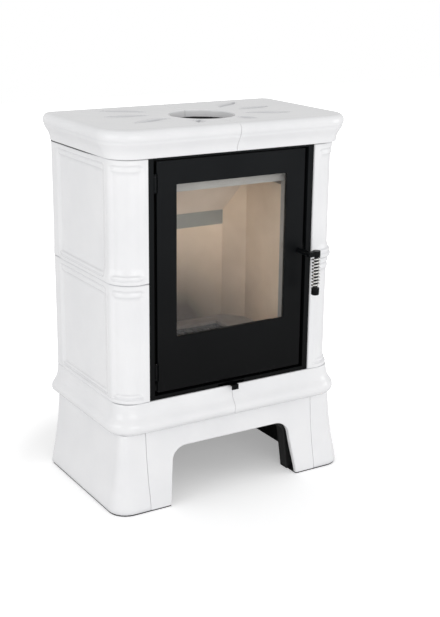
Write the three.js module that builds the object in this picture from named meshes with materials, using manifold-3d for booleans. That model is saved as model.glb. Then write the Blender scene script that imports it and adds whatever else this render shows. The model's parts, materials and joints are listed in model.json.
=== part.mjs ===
// A tiled wood stove: a sheet-steel firebox in a jacket of glazed ceramics, with a glazed door in front.
// Millimetres, +Z up, the front faces -Y. The origin is at the middle of the floor under the stove.
// The stove is drawn with the front face of its tiles at y = 0, and is moved to its origin at the end.
import * as THREE from "three";
import { mergeVertices } from "three/addons/utils/BufferGeometryUtils.js";
import Module from "manifold-3d";

const wasm = await Module();
wasm.setup();

// ---------------------------------------------------------------- driving dimensions
const PLAY = 0.3; // gap between pieces that touch
const JOINT = 0.8; // open joint between two ceramics

// Ceramic jacket
const JACKET_HALF_WIDTH = 296;
const JACKET_DEPTH = 346;
const JACKET_CORNER = 55; // radius of the tiles' front corners
const TILE_WALL = 9;
const BACK_CORNER = 3; // small rounding of the jacket's rear edges
const FRONT_FLAT = 21; // flat strip of a corner tile beside the door
const FOOT_PLATE = 3;
const PLINTH_HEIGHT = 186;
const PLINTH_CORNER = 21;
const PLINTH_WALL = 11;
const PLINTH_SEAM_INSET = 64; // from the jacket's side to the plinth's seam
const LEDGE_HEIGHT = 72;
const LEDGE_CORNER = 42;
const LEDGE_WIDTH = 17; // from the tiles' face inwards
const LOWER_TILE_HEIGHT = 278.5;
const UPPER_TILE_HEIGHT = 278.5;
const CORNICE_HEIGHT = 64.5;
const CORNICE_CORNER = 52;
const CORNICE_BACK_CORNER = 18;
const CORNICE_WALL = 12;
const TOP_SLAB = 20;

// Base frame
const LEG_BEHIND_BODY = 12;
const LEG_SHEET = 3;
const FOOT_SETBACK = 2; // of the footing behind the plinth's face
const FOOT_INSET = 4; // of the footing from the arch
const ARCH_FLANGE = 24; // depth of the steel that lines the arch
const ARCH_STRIP_PROUD = 4; // in front of the base frame
const ARCH_STRIP_BASE = 0.5;
const ARCH_STEEL_SHOWS = 3; // how far that steel shows inside the ceramic arch

// Arch in the plinth
const ARCH_HALF_WIDTH_FLOOR = 178;
const ARCH_HALF_WIDTH_SPRING = 164;
const ARCH_SPRING = 100; // height at which the jambs start to round
const ARCH_HEIGHT = 134;
const ARCH_ROUND = 38; // how far the rounding reaches inwards

// Flue
const FLUE_CENTRE = 150; // from the tiles' face
const FLUE_PIPE_RADIUS = 75;
const FLUE_CLEARANCE = 2.5; // slab hole round the pipe
const FLUE_RIM_ROUND = 5;
const FLUE_WALL = 2.5;
const FLUE_FLANGE = 14;
const BODY_TOP_GAP = 9; // from the body to the tiles' top
const FLUE_COLLAR_DROP = 4; // from the slab's underside to the collar's rim

// Flutes sunk in the top slab: angle in degrees, start and end radius
const FLUTES = [
  [14, 128, 226],
  [40, 132, 246],
  [-16, 104, 216],
  [-57, 92, 140],
];
const FLUTE_HALF_WIDTH = 10;
const FLUTE_DEPTH = 3.2;

// Relief of the tiles
const REAR_STILE = 24;
const FRONT_STILE = 9;
const CORNER_STILE = 16; // bead between the side panel and the corner panel
const RAIL = 9; // from the tile's mouldings to a panel
const LEAST_STEP = 0.6; // between two lines of a tile's net
const PANEL_MOULDING = [
  [0, 0],
  [2.6, -2.8],
  [5.6, -1.6],
  [9.6, -4],
]; // distance inside the panel's edge, depth

// Steel front
const SURROUND_RECESS = 5;
const SURROUND_SIDE_STRIP = 14.2;
const SURROUND_TOP_STRIP = 5;
const SURROUND_BOTTOM_STRIP = 9.6;
const LEAF_RECESS = 7;
const LEAF_THICKNESS = 3;
const LEAF_SIDE_GAP = 8.7; // dark groove between surround and leaf
const LEAF_TOP_GAP = 3.5;
const LEAF_BOTTOM_GAP = 6.2;
const WINDOW_SIDE_RAIL = 50;
const WINDOW_TOP_RAIL = 54.3;
const WINDOW_BOTTOM_RAIL = 128.3;
const GLASS_THICKNESS = 4;
const GLASS_LAP = 11;
const DOOR_FRAME_INSET = 4.8; // from the leaf's edge to the inner frame
const DOOR_FRAME_THICKNESS = 10;
const ROPE_THICKNESS = 12.1;
const ROPE_WIDTH = 10;
const ROPE_SIDE_INSET = 20; // from the inner frame's edge to the middle of the rope
const ROPE_END_INSET = 7;

// Firebox
const SIDE_AIR = 10; // between the side lining and the body
const BODY_SHEET = 4;
const BEHIND_BODY = 28; // from the body to the back of the jacket
const FRONT_SHEET = 3;
const FIREBOX_INSET = 32.8; // from the leaf's edge to the side lining
const REVEAL_DEPTH = 21;
const REAR_AIR = 32; // between the rear lining and the body
const BEVEL_WIDTH = 39; // of the slanted lining, seen from the front
const BEVEL_DEPTH = 48;
const LINING = 27;
const MOUTH_LIP = 19; // from the hearth plate up to the opening behind the door
const MOUTH_OVER_LINING = 14;
const HEARTH_PLATE = 3.5;
const FLOOR_BRICK = 22;
const SMOKE_SPACE = 90.8; // from the side lining's top to the body's top
const DUCT_DROP = 94; // from the side lining's top to the duct
const DUCT_HEIGHT = 36;
const DUCT_SHEET = 2;
const BAFFLE_SLOPE = 60; // degrees from flat
const BAFFLE_THICKNESS = 24;
const BAFFLE_FRONT = 98;
const GRATE_HALF_WIDTH = 84;
const GRATE_FRONT = 106;
const GRATE_BACK = 214;
const GRATE_THICKNESS = 15;
const GRATE_BARS = 7;
const GRATE_SLOT = 9;
const GRATE_BORDER = 15; // from the grate's edge to its slots
const GRATE_SEAT = 8; // how far the grate rests on the hearth plate

// Ash pan and the floor that it slides on
const PAN_SHELF_RISE = 36; // from the body's foot
const PAN_HALF_WIDTH = 104;
const PAN_DEPTH = 200;
const PAN_HEIGHT = 27;
const PAN_SHEET = 1.5;
const PAN_CLEARANCE = 2;

// Air slider and its guide
const GUIDE_SHEET = 2.4;
const AIR_BOX_HALF_WIDTH = 54;
const AIR_BOX_BACK = 100;
const AIR_PORT_X = 33; // ports in the slider
const FLOOR_VENT_X = 134; // slots in the body's floor, beside the ash pan
const FLOOR_VENT_INSET = 14; // from the body's front
const AIR_SLOT = 24;
const AIR_SLOT_LENGTH = 36;
const SLIDER_THICKNESS = 3.2;
const SLIDER_HALF_WIDTH = 62;
const SLIDER_DEPTH = 60;
const SLIDER_TRAVEL = 25;
const TAB_HALF_WIDTH = 9;
const TAB_REACH = 15; // in front of the tiles' face
const TAB_LIP = 9;
const TAB_PLAY = 2; // beside the tab at the ends of its travel

// Door furniture
const HINGE_PIN_RADIUS = 2.5;
const HINGE_AXIS_INSET = 2.7; // outside the leaf's edge
const HINGE_AXIS_DEPTH = 4.5; // behind the leaf's face
const HINGE_LUG_HEIGHT = 30;
const HINGE_LUG_FROM_END = 34;
const HINGE_TAB = 5;
const KNUCKLE_WALL = 1.6;
const LUG_DEEP = 12; // how far a lug reaches into the inner frame
const CLIP_SHEET = 1.5;
const CLIP_LAP = 14;
const CLIP_HALF_WIDTH = 120;
const SPINDLE_INSET = 10.8; // from the leaf's right edge
const SPINDLE_RISE = 290; // from the leaf's lower edge
const SPINDLE_RADIUS = 4.5;
const TONGUE_WIDTH = 12;
const TONGUE_THICKNESS = 4;
const TONGUE_CLEARANCE = 1.6;
const KEEPER_THICKNESS = 2;
const HANDLE_REACH = 51; // from the tiles' face to the front of the coil
const HANDLE_OUTSIDE_LEAF = 7.2; // coil axis beyond the leaf's right edge
const HANDLE_ROD_RADIUS = 5;
const COIL_WIRE_RADIUS = 2.3;
const COIL_RADIUS = 7.8; // to the middle of the wire
const COIL_CURLS = 9;
const COIL_PITCH = 8.4;
const CAP_RADIUS = 9.6;
const CAP_TOP = 14;
const CAP_BOTTOM = 18;
const ARM_SIZE = 12;
const SPINDLE_COLLAR = 6.5;

// Rear
const SHIELD_SHEET = 1.5;
const SHIELD_FROM_BACK = 5;
const OUTLET_LAP = 7;
const OUTLET_SHEET = 3;
const OUTLET_GAP = 8; // between the cover and the hole in the shield
const OUTLET_DROP = 112; // from the body's top
const RAIL_SHEET = 3;
const RAIL_FLANGE = 22;
const SHIELD_STAY_INSET = 15; // from the body's side to the stay that holds the shield
const SHIELD_STAY_WIDTH = 20;
const SHIELD_STAY_SHORT = 40;
const SHIELD_ROWS = 3;
const SHIELD_COLUMNS = 9;
const SHIELD_SLOT = 26;
const SHIELD_SLOT_HEIGHT = 7;
const SHIELD_SLOT_PITCH = 36;
const SHIELD_ROW_PITCH = 22;
const SHIELD_SLOT_RISE = 68; // from the body's foot

// ---------------------------------------------------------------- levels and planes worked out
const plinthBase = FOOT_PLATE + PLAY;
const plinthTop = plinthBase + PLINTH_HEIGHT;
const ledgeBase = plinthTop + JOINT;
const ledgeTop = ledgeBase + LEDGE_HEIGHT;
const lowerTileBase = ledgeTop + JOINT;
const lowerTileTop = lowerTileBase + LOWER_TILE_HEIGHT;
const upperTileBase = lowerTileTop + JOINT;
const upperTileTop = upperTileBase + UPPER_TILE_HEIGHT;
const corniceBase = upperTileTop + JOINT;
const stoveTop = corniceBase + CORNICE_HEIGHT;

const doorwayHalf = JACKET_HALF_WIDTH - JACKET_CORNER - FRONT_FLAT;
const surroundHalf = doorwayHalf - PLAY;
const surroundBase = ledgeTop + PLAY;
const surroundTop = upperTileTop - PLAY;
const frameOpeningHalf = surroundHalf - SURROUND_SIDE_STRIP;
const frameOpeningBase = surroundBase + SURROUND_BOTTOM_STRIP;
const frameOpeningTop = surroundTop - SURROUND_TOP_STRIP;
const leafHalf = frameOpeningHalf - LEAF_SIDE_GAP;
const leafBase = frameOpeningBase + LEAF_BOTTOM_GAP;
const leafTop = frameOpeningTop - LEAF_TOP_GAP;
const windowHalf = leafHalf - WINDOW_SIDE_RAIL;
const windowBase = leafBase + WINDOW_BOTTOM_RAIL;
const windowTop = leafTop - WINDOW_TOP_RAIL;
const leafBack = LEAF_RECESS + LEAF_THICKNESS;
const doorFrameHalf = leafHalf - DOOR_FRAME_INSET;
const doorFrameBase = leafBase + DOOR_FRAME_INSET;
const doorFrameTop = leafTop - DOOR_FRAME_INSET;
const doorFrameFront = leafBack + PLAY;
const doorFrameBack = doorFrameFront + DOOR_FRAME_THICKNESS;
const ropeFront = doorFrameBack + PLAY;
const frontSheet = ropeFront + ROPE_THICKNESS + PLAY;
const frontSheetBack = frontSheet + FRONT_SHEET;
const liningFront = frontSheetBack + REVEAL_DEPTH + PLAY;
const bodyFront = frontSheetBack + PLAY;
const fireboxHalf = leafHalf - FIREBOX_INSET;
const bodyInner = fireboxHalf + LINING + SIDE_AIR;
const bodyHalf = bodyInner + BODY_SHEET;
const bodyBack = JACKET_DEPTH - BEHIND_BODY;
const legBack = bodyBack + LEG_BEHIND_BODY;
const fireboxBack = bodyBack - BODY_SHEET - REAR_AIR - LINING;
const bevelX = fireboxHalf - BEVEL_WIDTH;
const legTop = ledgeTop - PLAY;
const legHalf = JACKET_HALF_WIDTH - LEDGE_CORNER;
const bodyBase = legTop + PLAY;
const bodyTop = upperTileTop - BODY_TOP_GAP;
const panShelf = bodyBase + PAN_SHELF_RISE;
const panBase = panShelf + PLAY;
const hearthHeight = panBase + PAN_HEIGHT + PAN_CLEARANCE / 2 + HEARTH_PLATE;
const mouthBottom = hearthHeight + MOUTH_LIP;
const liningTop = bodyTop - SMOKE_SPACE;
const mouthTop = liningTop + MOUTH_OVER_LINING;
const ductTop = liningTop - DUCT_DROP;
const ductBottom = ductTop - DUCT_HEIGHT;
const outletHeight = bodyTop - OUTLET_DROP;
const outletCover = FLUE_PIPE_RADIUS + OUTLET_LAP;
const jacketInner = JACKET_HALF_WIDTH - TILE_WALL;
const slabUnderside = stoveTop - TOP_SLAB;
const hearthUnderside = hearthHeight - HEARTH_PLATE;
const floorBrickTop = hearthHeight + PLAY + FLOOR_BRICK;
const hingeX = -leafHalf - HINGE_AXIS_INSET;
const hingeY = LEAF_RECESS + HINGE_AXIS_DEPTH;
const spindleX = leafHalf - SPINDLE_INSET;
const spindleHeight = leafBase + SPINDLE_RISE;
const handleX = leafHalf + HANDLE_OUTSIDE_LEAF;
const coilOuter = COIL_RADIUS + COIL_WIRE_RADIUS;
const handleY = -HANDLE_REACH + coilOuter;
const coilLength = COIL_CURLS * COIL_PITCH;
const depthCentre = (JACKET_DEPTH - HANDLE_REACH) / 2;

// ---------------------------------------------------------------- materials
function finish(color, roughness, metalness, extra = {}) {
  return new THREE.MeshStandardMaterial({ color, roughness, metalness, ...extra });
}

const glaze = finish(0xf3f3f4, 0.18, 0);
const blackPaint = finish(0x1b1d1e, 0.6, 0.3);
const blackSteel = finish(0x2a2b2b, 0.7, 0.5);
const greySteel = finish(0x6b6e68, 0.55, 0.6);
const castIron = finish(0x26262a, 0.8, 0.6);
const vermiculite = finish(0xb49c80, 0.95, 0);
const brightSteel = finish(0xc9cac8, 0.22, 1);
const clearGlass = finish(0xdfe6e3, 0.03, 0, { transparent: true, opacity: 0.2 });
const ceramicRope = finish(0x3a3a3a, 1, 0);

// ---------------------------------------------------------------- making solids
function solidOf(geometry) {
  const bare = geometry.index ? geometry.toNonIndexed() : geometry.clone();
  bare.deleteAttribute("normal");
  bare.deleteAttribute("uv");
  const merged = mergeVertices(bare, 1e-4);
  return new wasm.Manifold(
    new wasm.Mesh({
      numProp: 3,
      vertProperties: new Float32Array(merged.attributes.position.array),
      triVerts: new Uint32Array(merged.index.array),
    }),
  );
}

function geometryOf(solid) {
  const mesh = solid.getMesh();
  const geometry = new THREE.BufferGeometry();
  geometry.setAttribute("position", new THREE.BufferAttribute(mesh.vertProperties, 3));
  geometry.setIndex(new THREE.BufferAttribute(mesh.triVerts, 1));
  return geometry;
}

const join = (first, ...others) => others.reduce((whole, other) => whole.add(other), first);
const cut = (first, ...others) => others.reduce((whole, other) => whole.subtract(other), first);

// A box between two corners.
function block([x0, x1], [y0, y1], [z0, z1]) {
  const box = new THREE.BoxGeometry(x1 - x0, y1 - y0, z1 - z0);
  box.translate((x0 + x1) / 2, (y0 + y1) / 2, (z0 + z1) / 2);
  return solidOf(box);
}

// A polygon pushed along one axis. Its points are (x, y) for "z", (x, z) for "y" and (y, z) for "x".
function prism(points, axis, from, to) {
  const shape = new THREE.Shape(points.map(([u, v]) => new THREE.Vector2(u, v)));
  const geometry = new THREE.ExtrudeGeometry(shape, { depth: to - from, bevelEnabled: false });
  const place = new THREE.Matrix4();
  if (axis === "z") place.makeTranslation(0, 0, from);
  if (axis === "x") place.set(0, 0, 1, from, 1, 0, 0, 0, 0, 1, 0, 0, 0, 0, 0, 1);
  if (axis === "y") place.set(1, 0, 0, 0, 0, 0, -1, to, 0, 1, 0, 0, 0, 0, 0, 1);
  return solidOf(geometry.applyMatrix4(place));
}

// A round bar along one axis. Its centre is (x, y) for "z", (x, z) for "y" and (y, z) for "x".
function bar(radius, [u, v], axis, from, to, sides = 24) {
  const points = [];
  for (let i = 0; i < sides; i += 1) {
    const turn = (2 * Math.PI * i) / sides;
    points.push([u + radius * Math.cos(turn), v + radius * Math.sin(turn)]);
  }
  return prism(points, axis, from, to);
}

// A body of stacked outlines: levels of { z, points }, each outline counter-clockwise with as many points.
function loft(levels) {
  const count = levels[0].points.length;
  const positions = levels.flatMap(({ z, points }) => points.flatMap(([x, y]) => [x, y, z]));
  const index = [];
  for (let level = 0; level + 1 < levels.length; level += 1) {
    for (let i = 0; i < count; i += 1) {
      const a = level * count + i;
      const b = level * count + ((i + 1) % count);
      index.push(a, b, b + count, a, b + count, a + count);
    }
  }
  const cap = (level, flip) => {
    const contour = levels[level].points.map(([x, y]) => new THREE.Vector2(x, y));
    for (const [a, b, c] of THREE.ShapeUtils.triangulateShape(contour, [])) {
      const corners = flip ? [a, c, b] : [a, b, c];
      index.push(...corners.map((corner) => corner + level * count));
    }
  };
  cap(0, true);
  cap(levels.length - 1, false);
  const geometry = new THREE.BufferGeometry();
  geometry.setAttribute("position", new THREE.Float32BufferAttribute(positions, 3));
  geometry.setIndex(index);
  return solidOf(geometry);
}

// Points of a quarter circle round a centre, from one angle in degrees to 90 more.
function quarter([x, y], radius, from, steps) {
  const points = [];
  for (let i = 0; i <= steps; i += 1) {
    const angle = THREE.MathUtils.degToRad(from + (90 * i) / steps);
    points.push([x + radius * Math.cos(angle), y + radius * Math.sin(angle)]);
  }
  return points;
}

// The stove's plan, moved outwards by an overhang on the front and the sides.
function plan(overhang, frontCorner, backCorner, back = JACKET_DEPTH) {
  const half = JACKET_HALF_WIDTH + overhang;
  const front = frontCorner + overhang;
  const centreX = half - front;
  const centreY = frontCorner;
  return [
    ...quarter([-centreX, centreY], front, 180, 6),
    ...quarter([centreX, centreY], front, 270, 6),
    ...quarter([half - backCorner, back - backCorner], backCorner, 0, 2),
    ...quarter([-half + backCorner, back - backCorner], backCorner, 90, 2),
  ];
}

// A moulding's profile stretched to a height. It holds pairs of height above the piece's base and overhang.
const toHeight = (profile, height) => profile.map(([up, out]) => [(up * height) / profile.at(-1)[0], out]);

function sweepPlan(profile, base, frontCorner, backCorner, back = JACKET_DEPTH) {
  return loft(
    profile.map(([height, overhang]) => ({
      z: base + height,
      points: plan(overhang, frontCorner, backCorner, back),
    })),
  );
}

// ---------------------------------------------------------------- the assembly
const stove = new THREE.Group();
const standing = new THREE.Group();
standing.position.y = -depthCentre;
stove.add(standing);

function place(name, solid, material) {
  const mesh = new THREE.Mesh(geometryOf(solid), material);
  mesh.name = name;
  standing.add(mesh);
  return mesh;
}

// A right-hand piece and its mirror image.
function placePair(name, solid, material) {
  place(`${name}_right`, solid, material);
  place(`${name}_left`, solid, material).scale.x = -1;
}

const FAR = 500; // half the size of a cutting box, larger than the stove

// ---------------------------------------------------------------- cornice and top slab
const CORNICE_PROFILE = [
  [0, 5.5],
  [2, 7.5],
  [10, 8.5],
  [19, 11.5],
  [28, 17],
  [34, 21],
  [38, 22],
  [39.5, 20.8],
  [42, 23],
  [47, 24.4],
  [53, 24],
  [58.5, 21.5],
  [62.5, 17],
  [64.5, 10],
];

function flute([degrees, start, end]) {
  const angle = THREE.MathUtils.degToRad(degrees);
  const outline = (widthShare) => {
    const side = (sign, forwards) => {
      const points = [];
      for (let i = 1; i < 8; i += 1) {
        const share = (forwards ? i : 8 - i) / 8;
        const along = start + (end - start) * share;
        const across = sign * FLUTE_HALF_WIDTH * widthShare * Math.sin(Math.PI * share);
        points.push([along, across]);
      }
      return points;
    };
    const local = [[start, 0], ...side(-1, true), [end, 0], ...side(1, false)];
    return local.map(([along, across]) => [
      along * Math.cos(angle) - across * Math.sin(angle),
      FLUE_CENTRE + along * Math.sin(angle) + across * Math.cos(angle),
    ]);
  };
  return loft([
    { z: stoveTop - FLUTE_DEPTH, points: outline(0.4) },
    { z: stoveTop + 1, points: outline(1.2) },
  ]);
}

function slabHole() {
  const hole = FLUE_PIPE_RADIUS + FLUE_CLEARANCE;
  const profile = [new THREE.Vector2(0, slabUnderside - 1), new THREE.Vector2(hole, slabUnderside - 1)];
  for (let i = 0; i <= 4; i += 1) {
    const angle = (Math.PI / 2) * (i / 4);
    const radius = hole + FLUE_RIM_ROUND * (1 - Math.cos(angle));
    profile.push(new THREE.Vector2(radius, stoveTop - FLUE_RIM_ROUND * (1 - Math.sin(angle))));
  }
  profile.push(new THREE.Vector2(hole + FLUE_RIM_ROUND, stoveTop + 1));
  profile.push(new THREE.Vector2(0, stoveTop + 1));
  const hollow = new THREE.LatheGeometry(profile, 40);
  hollow.rotateX(Math.PI / 2);
  hollow.translate(0, FLUE_CENTRE, 0);
  return solidOf(hollow);
}

function corniceHalf() {
  const profile = toHeight(CORNICE_PROFILE, CORNICE_HEIGHT);
  const outside = sweepPlan(profile, corniceBase, CORNICE_CORNER, CORNICE_BACK_CORNER);
  const inside = loft(
    [corniceBase - 1, slabUnderside].map((z) => ({
      z,
      points: plan(-CORNICE_WALL, CORNICE_CORNER, BACK_CORNER, JACKET_DEPTH - CORNICE_WALL),
    })),
  );
  const otherHalf = block([-FAR, JOINT / 2], [-FAR, FAR], [0, stoveTop + FAR]);
  return cut(outside, inside, slabHole(), ...FLUTES.map(flute), otherHalf);
}

placePair("cornice", corniceHalf(), glaze);

// ---------------------------------------------------------------- corner tiles
const FRONT_RUN = JACKET_HALF_WIDTH - JACKET_CORNER - doorwayHalf;
const CORNER_RUN = (Math.PI / 2) * JACKET_CORNER;
const SIDE_RUN = JACKET_DEPTH - JACKET_CORNER;
const TILE_RUN = FRONT_RUN + CORNER_RUN + SIDE_RUN;

// The point that lies a run along the right tile's face from its doorway edge, moved outwards.
function onTile(run, outwards) {
  if (run <= FRONT_RUN) return [doorwayHalf + run, -outwards];
  if (run >= FRONT_RUN + CORNER_RUN) {
    return [JACKET_HALF_WIDTH + outwards, JACKET_CORNER + run - FRONT_RUN - CORNER_RUN];
  }
  const angle = (run - FRONT_RUN) / JACKET_CORNER;
  const radius = JACKET_CORNER + outwards;
  const centreX = JACKET_HALF_WIDTH - JACKET_CORNER;
  return [centreX + radius * Math.sin(angle), JACKET_CORNER - radius * Math.cos(angle)];
}

// Reads a list of [place, value] pairs at any place, straight between them.
function readAt(pairs, where) {
  const next = pairs.findIndex(([at]) => at >= where);
  if (next === -1) return pairs.at(-1)[1];
  if (next === 0) return pairs[0][1];
  const [at0, value0] = pairs[next - 1];
  const [at1, value1] = pairs[next];
  return value0 + ((value1 - value0) * (where - at0)) / (at1 - at0);
}

const mouldingLines = (start, end) => [
  ...PANEL_MOULDING.map(([inside]) => start + inside),
  ...PANEL_MOULDING.map(([inside]) => end - inside),
];

function cornerTile(base, height, profile) {
  const cornerStart = FRONT_RUN + CORNER_RUN;
  const panels = [
    [FRONT_STILE, cornerStart - CORNER_STILE / 2],
    [cornerStart + CORNER_STILE / 2, TILE_RUN - REAR_STILE],
  ];
  const foot = profile.foot.at(-1)[0] + RAIL;
  const head = height - profile.head[0][0] - RAIL;
  const overhangs = [...profile.foot, ...profile.head.map(([down, out]) => [height - down, out])];
  const relief = (run, up) => {
    const insides = panels.map(([start, end]) => Math.min(run - start, end - run, up - foot, head - up));
    return readAt(PANEL_MOULDING, Math.max(0, ...insides));
  };
  const arcLines = [1, 2, 3, 4, 5].map((i) => FRONT_RUN + (CORNER_RUN * i) / 6);
  const panelRuns = panels.flatMap((panel) => mouldingLines(...panel));
  const runs = [0, FRONT_RUN, ...arcLines, cornerStart, TILE_RUN, ...panelRuns];
  const ups = [...overhangs.map(([up]) => up), ...mouldingLines(foot, head)];
  const apart = (x, i, all) => i === 0 || x - all[i - 1] > LEAST_STEP;
  const tidy = (lines) => [...lines].sort((a, b) => a - b).filter(apart);
  const inner = [TILE_RUN, cornerStart, ...arcLines.filter((_, i) => i % 2).reverse(), FRONT_RUN, 0];
  return loft(
    tidy(ups).map((up) => ({
      z: base + up,
      points: [
        ...tidy(runs).map((run) => onTile(run, readAt(overhangs, up) + relief(run, up))),
        ...inner.map((run) => onTile(run, -TILE_WALL)),
      ],
    })),
  );
}

// Mouldings at the foot, as height and overhang, and at the head, as distance down and overhang.
const UPPER_TILE_PROFILE = {
  foot: [[0, 3.2], [2.5, 4.8], [16, 5], [24, 2.6], [31, 0.6], [35, 0]],
  head: [[16, 0], [12, 2.4], [4, 4.6], [0, 3.6]],
};
const LOWER_TILE_PROFILE = {
  foot: [[0, 1.6], [2, 2.8], [9, 2.8], [15, 0]],
  head: [[6, 0], [0, 1.4]],
};
placePair("tile_upper", cornerTile(upperTileBase, UPPER_TILE_HEIGHT, UPPER_TILE_PROFILE), glaze);
placePair("tile_lower", cornerTile(lowerTileBase, LOWER_TILE_HEIGHT, LOWER_TILE_PROFILE), glaze);

// ---------------------------------------------------------------- ledge
const LEDGE_PROFILE = [
  [0, 2],
  [1.5, 8],
  [6, 13.5],
  [12, 16.8],
  [19, 17.6],
  [26, 16],
  [33, 11.5],
  [39, 7],
  [48, 3],
  [60, 0.8],
  [72, 0],
];

function ledgeHalf() {
  const outside = sweepPlan(toHeight(LEDGE_PROFILE, LEDGE_HEIGHT), ledgeBase, LEDGE_CORNER, BACK_CORNER);
  const inside = loft(
    [ledgeBase - 1, ledgeTop + 1].map((z) => ({
      z,
      points: plan(-LEDGE_WIDTH, LEDGE_CORNER, BACK_CORNER, JACKET_DEPTH + FAR),
    })),
  );
  return cut(outside, inside, block([-FAR, JOINT / 2], [-FAR, FAR], [0, stoveTop]));
}

placePair("ledge", ledgeHalf(), glaze);

// ---------------------------------------------------------------- plinth
const PLINTH_FLARE = 24; // overhang at the floor
const PLINTH_PROFILE = [
  [0, PLINTH_FLARE],
  [8, PLINTH_FLARE - 0.7],
  [30, 19.5],
  [60, 13],
  [95, 7],
  [135, 2],
  [186, -2],
];

// The arch, drawn smaller by a margin, as (x, z) points.
function archOutline(margin) {
  const spring = ARCH_HALF_WIDTH_SPRING - margin;
  const floor = ARCH_HALF_WIDTH_FLOOR - margin;
  const rise = ARCH_HEIGHT - margin - ARCH_SPRING;
  const right = [[floor, -1]];
  for (let i = 0; i <= 6; i += 1) {
    const angle = (Math.PI / 2) * (i / 6);
    const inwards = ARCH_ROUND * (1 - Math.cos(angle));
    right.push([spring - inwards, ARCH_SPRING + rise * Math.sin(angle)]);
  }
  return [...right, ...right.map(([x, z]) => [-x, z]).reverse()];
}

function plinthRing() {
  const outer = toHeight(PLINTH_PROFILE, PLINTH_HEIGHT);
  const inner = outer.map(([height, out]) => [height, out - PLINTH_WALL]);
  inner[0][0] -= 1;
  inner.at(-1)[0] += 1;
  return cut(
    sweepPlan(outer, plinthBase, PLINTH_CORNER, BACK_CORNER),
    sweepPlan(inner, plinthBase, PLINTH_CORNER, BACK_CORNER, JACKET_DEPTH + FAR),
  );
}

const plinth = plinthRing();
const seam = JACKET_HALF_WIDTH - PLINTH_SEAM_INSET;
const betweenSeams = [JOINT / 2 - seam, seam - JOINT / 2];
placePair("plinth", cut(plinth, block([-FAR, seam + JOINT / 2], [-FAR, FAR], [0, FAR])), glaze);
place(
  "plinth_front",
  cut(
    plinth.intersect(block(betweenSeams, [-FAR, PLINTH_WALL + JACKET_CORNER], [0, FAR])),
    prism(archOutline(0), "y", -FAR, FAR),
  ),
  glaze,
);

// ---------------------------------------------------------------- base frame under the firebox
const legFront = LEDGE_WIDTH + PLAY;

const besideArch = ARCH_HALF_WIDTH_FLOOR - FOOT_INSET;
const withinLegs = [LEG_SHEET - legHalf, legHalf - LEG_SHEET];
const wallTop = legTop - LEG_SHEET - PLAY;

// Four walls of sheet on a flat footing, open at the top and the bottom.
function baseFrame() {
  const footing = plan(PLINTH_FLARE - FOOT_SETBACK, PLINTH_CORNER, BACK_CORNER, JACKET_DEPTH - FOOT_SETBACK);
  const feet = cut(
    loft([0, FOOT_PLATE].map((z) => ({ z, points: footing }))),
    block([-besideArch, besideArch], [-FAR, FAR], [-1, FAR]),
    block(withinLegs, [legFront + ARCH_FLANGE, FAR], [-1, FAR]),
  );
  const walls = cut(
    block([-legHalf, legHalf], [legFront, legBack], [FOOT_PLATE / 2, wallTop]),
    block(withinLegs, [legFront + LEG_SHEET, legBack - LEG_SHEET], [-1, FAR]),
  );
  const arch = archOutline(ARCH_STEEL_SHOWS - LEG_SHEET - PLAY);
  return cut(join(feet, walls), prism(arch, "y", -FAR, legFront + ARCH_FLANGE + 1));
}

// The plate that the firebox stands on, with a hole for the air box.
function baseTop() {
  const plate = block([-legHalf, legHalf], [legFront, legBack], [legTop - LEG_SHEET, legTop]);
  const air = AIR_BOX_HALF_WIDTH;
  return cut(plate, block([-air, air], [legFront + 2 * LEG_SHEET, AIR_BOX_BACK], [0, FAR]));
}

place("base_frame", baseFrame(), blackSteel);
place("base_top", baseTop(), blackSteel);

// The bent strip of steel that lines the arch.
function archLining() {
  const depth = [legFront - ARCH_STRIP_PROUD, legFront + ARCH_FLANGE];
  return cut(
    prism(archOutline(ARCH_STEEL_SHOWS - LEG_SHEET), "y", ...depth),
    prism(archOutline(ARCH_STEEL_SHOWS), "y", -FAR, FAR),
    block([-FAR, FAR], [-FAR, FAR], [-FAR, ARCH_STRIP_BASE]),
  );
}

place("arch_lining", archLining(), blackSteel);

// ---------------------------------------------------------------- firebox body
const bodySides = [-bodyInner + PLAY, bodyInner - PLAY];
const bodyDepth = [bodyFront, bodyBack - BODY_SHEET - PLAY];
const bodyFloorBase = panShelf - BODY_SHEET;

function bodyFloor() {
  const plate = block(bodySides, bodyDepth, [bodyFloorBase, panShelf]);
  const vent = [bodyFront + FLOOR_VENT_INSET, bodyFront + FLOOR_VENT_INSET + 2 * AIR_SLOT_LENGTH];
  const slots = [-FLOOR_VENT_X, FLOOR_VENT_X].map((x) => {
    return block([x - AIR_SLOT / 2, x + AIR_SLOT / 2], vent, [0, FAR]);
  });
  return cut(plate, ...slots);
}

function bodyTopPlate() {
  const top = [bodyTop - BODY_SHEET, bodyTop];
  const plate = block([-bodyHalf, bodyHalf], [bodyFront, bodyBack], top);
  return cut(plate, bar(FLUE_PIPE_RADIUS - FLUE_WALL, [0, FLUE_CENTRE], "z", 0, bodyTop + 1, 32));
}

const wallHeight = [bodyBase, bodyTop - BODY_SHEET - PLAY];
place("body_floor", bodyFloor(), blackSteel);
place("body_top", bodyTopPlate(), blackSteel);
placePair("body_side", block([bodyInner, bodyHalf], [bodyFront, bodyBack], wallHeight), blackSteel);

function bodyBackPlate() {
  const plate = block(bodySides, [bodyBack - BODY_SHEET, bodyBack], wallHeight);
  return cut(plate, bar(FLUE_PIPE_RADIUS, [0, outletHeight], "y", 0, FAR, 32));
}

place("body_back", bodyBackPlate(), blackSteel);

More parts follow.
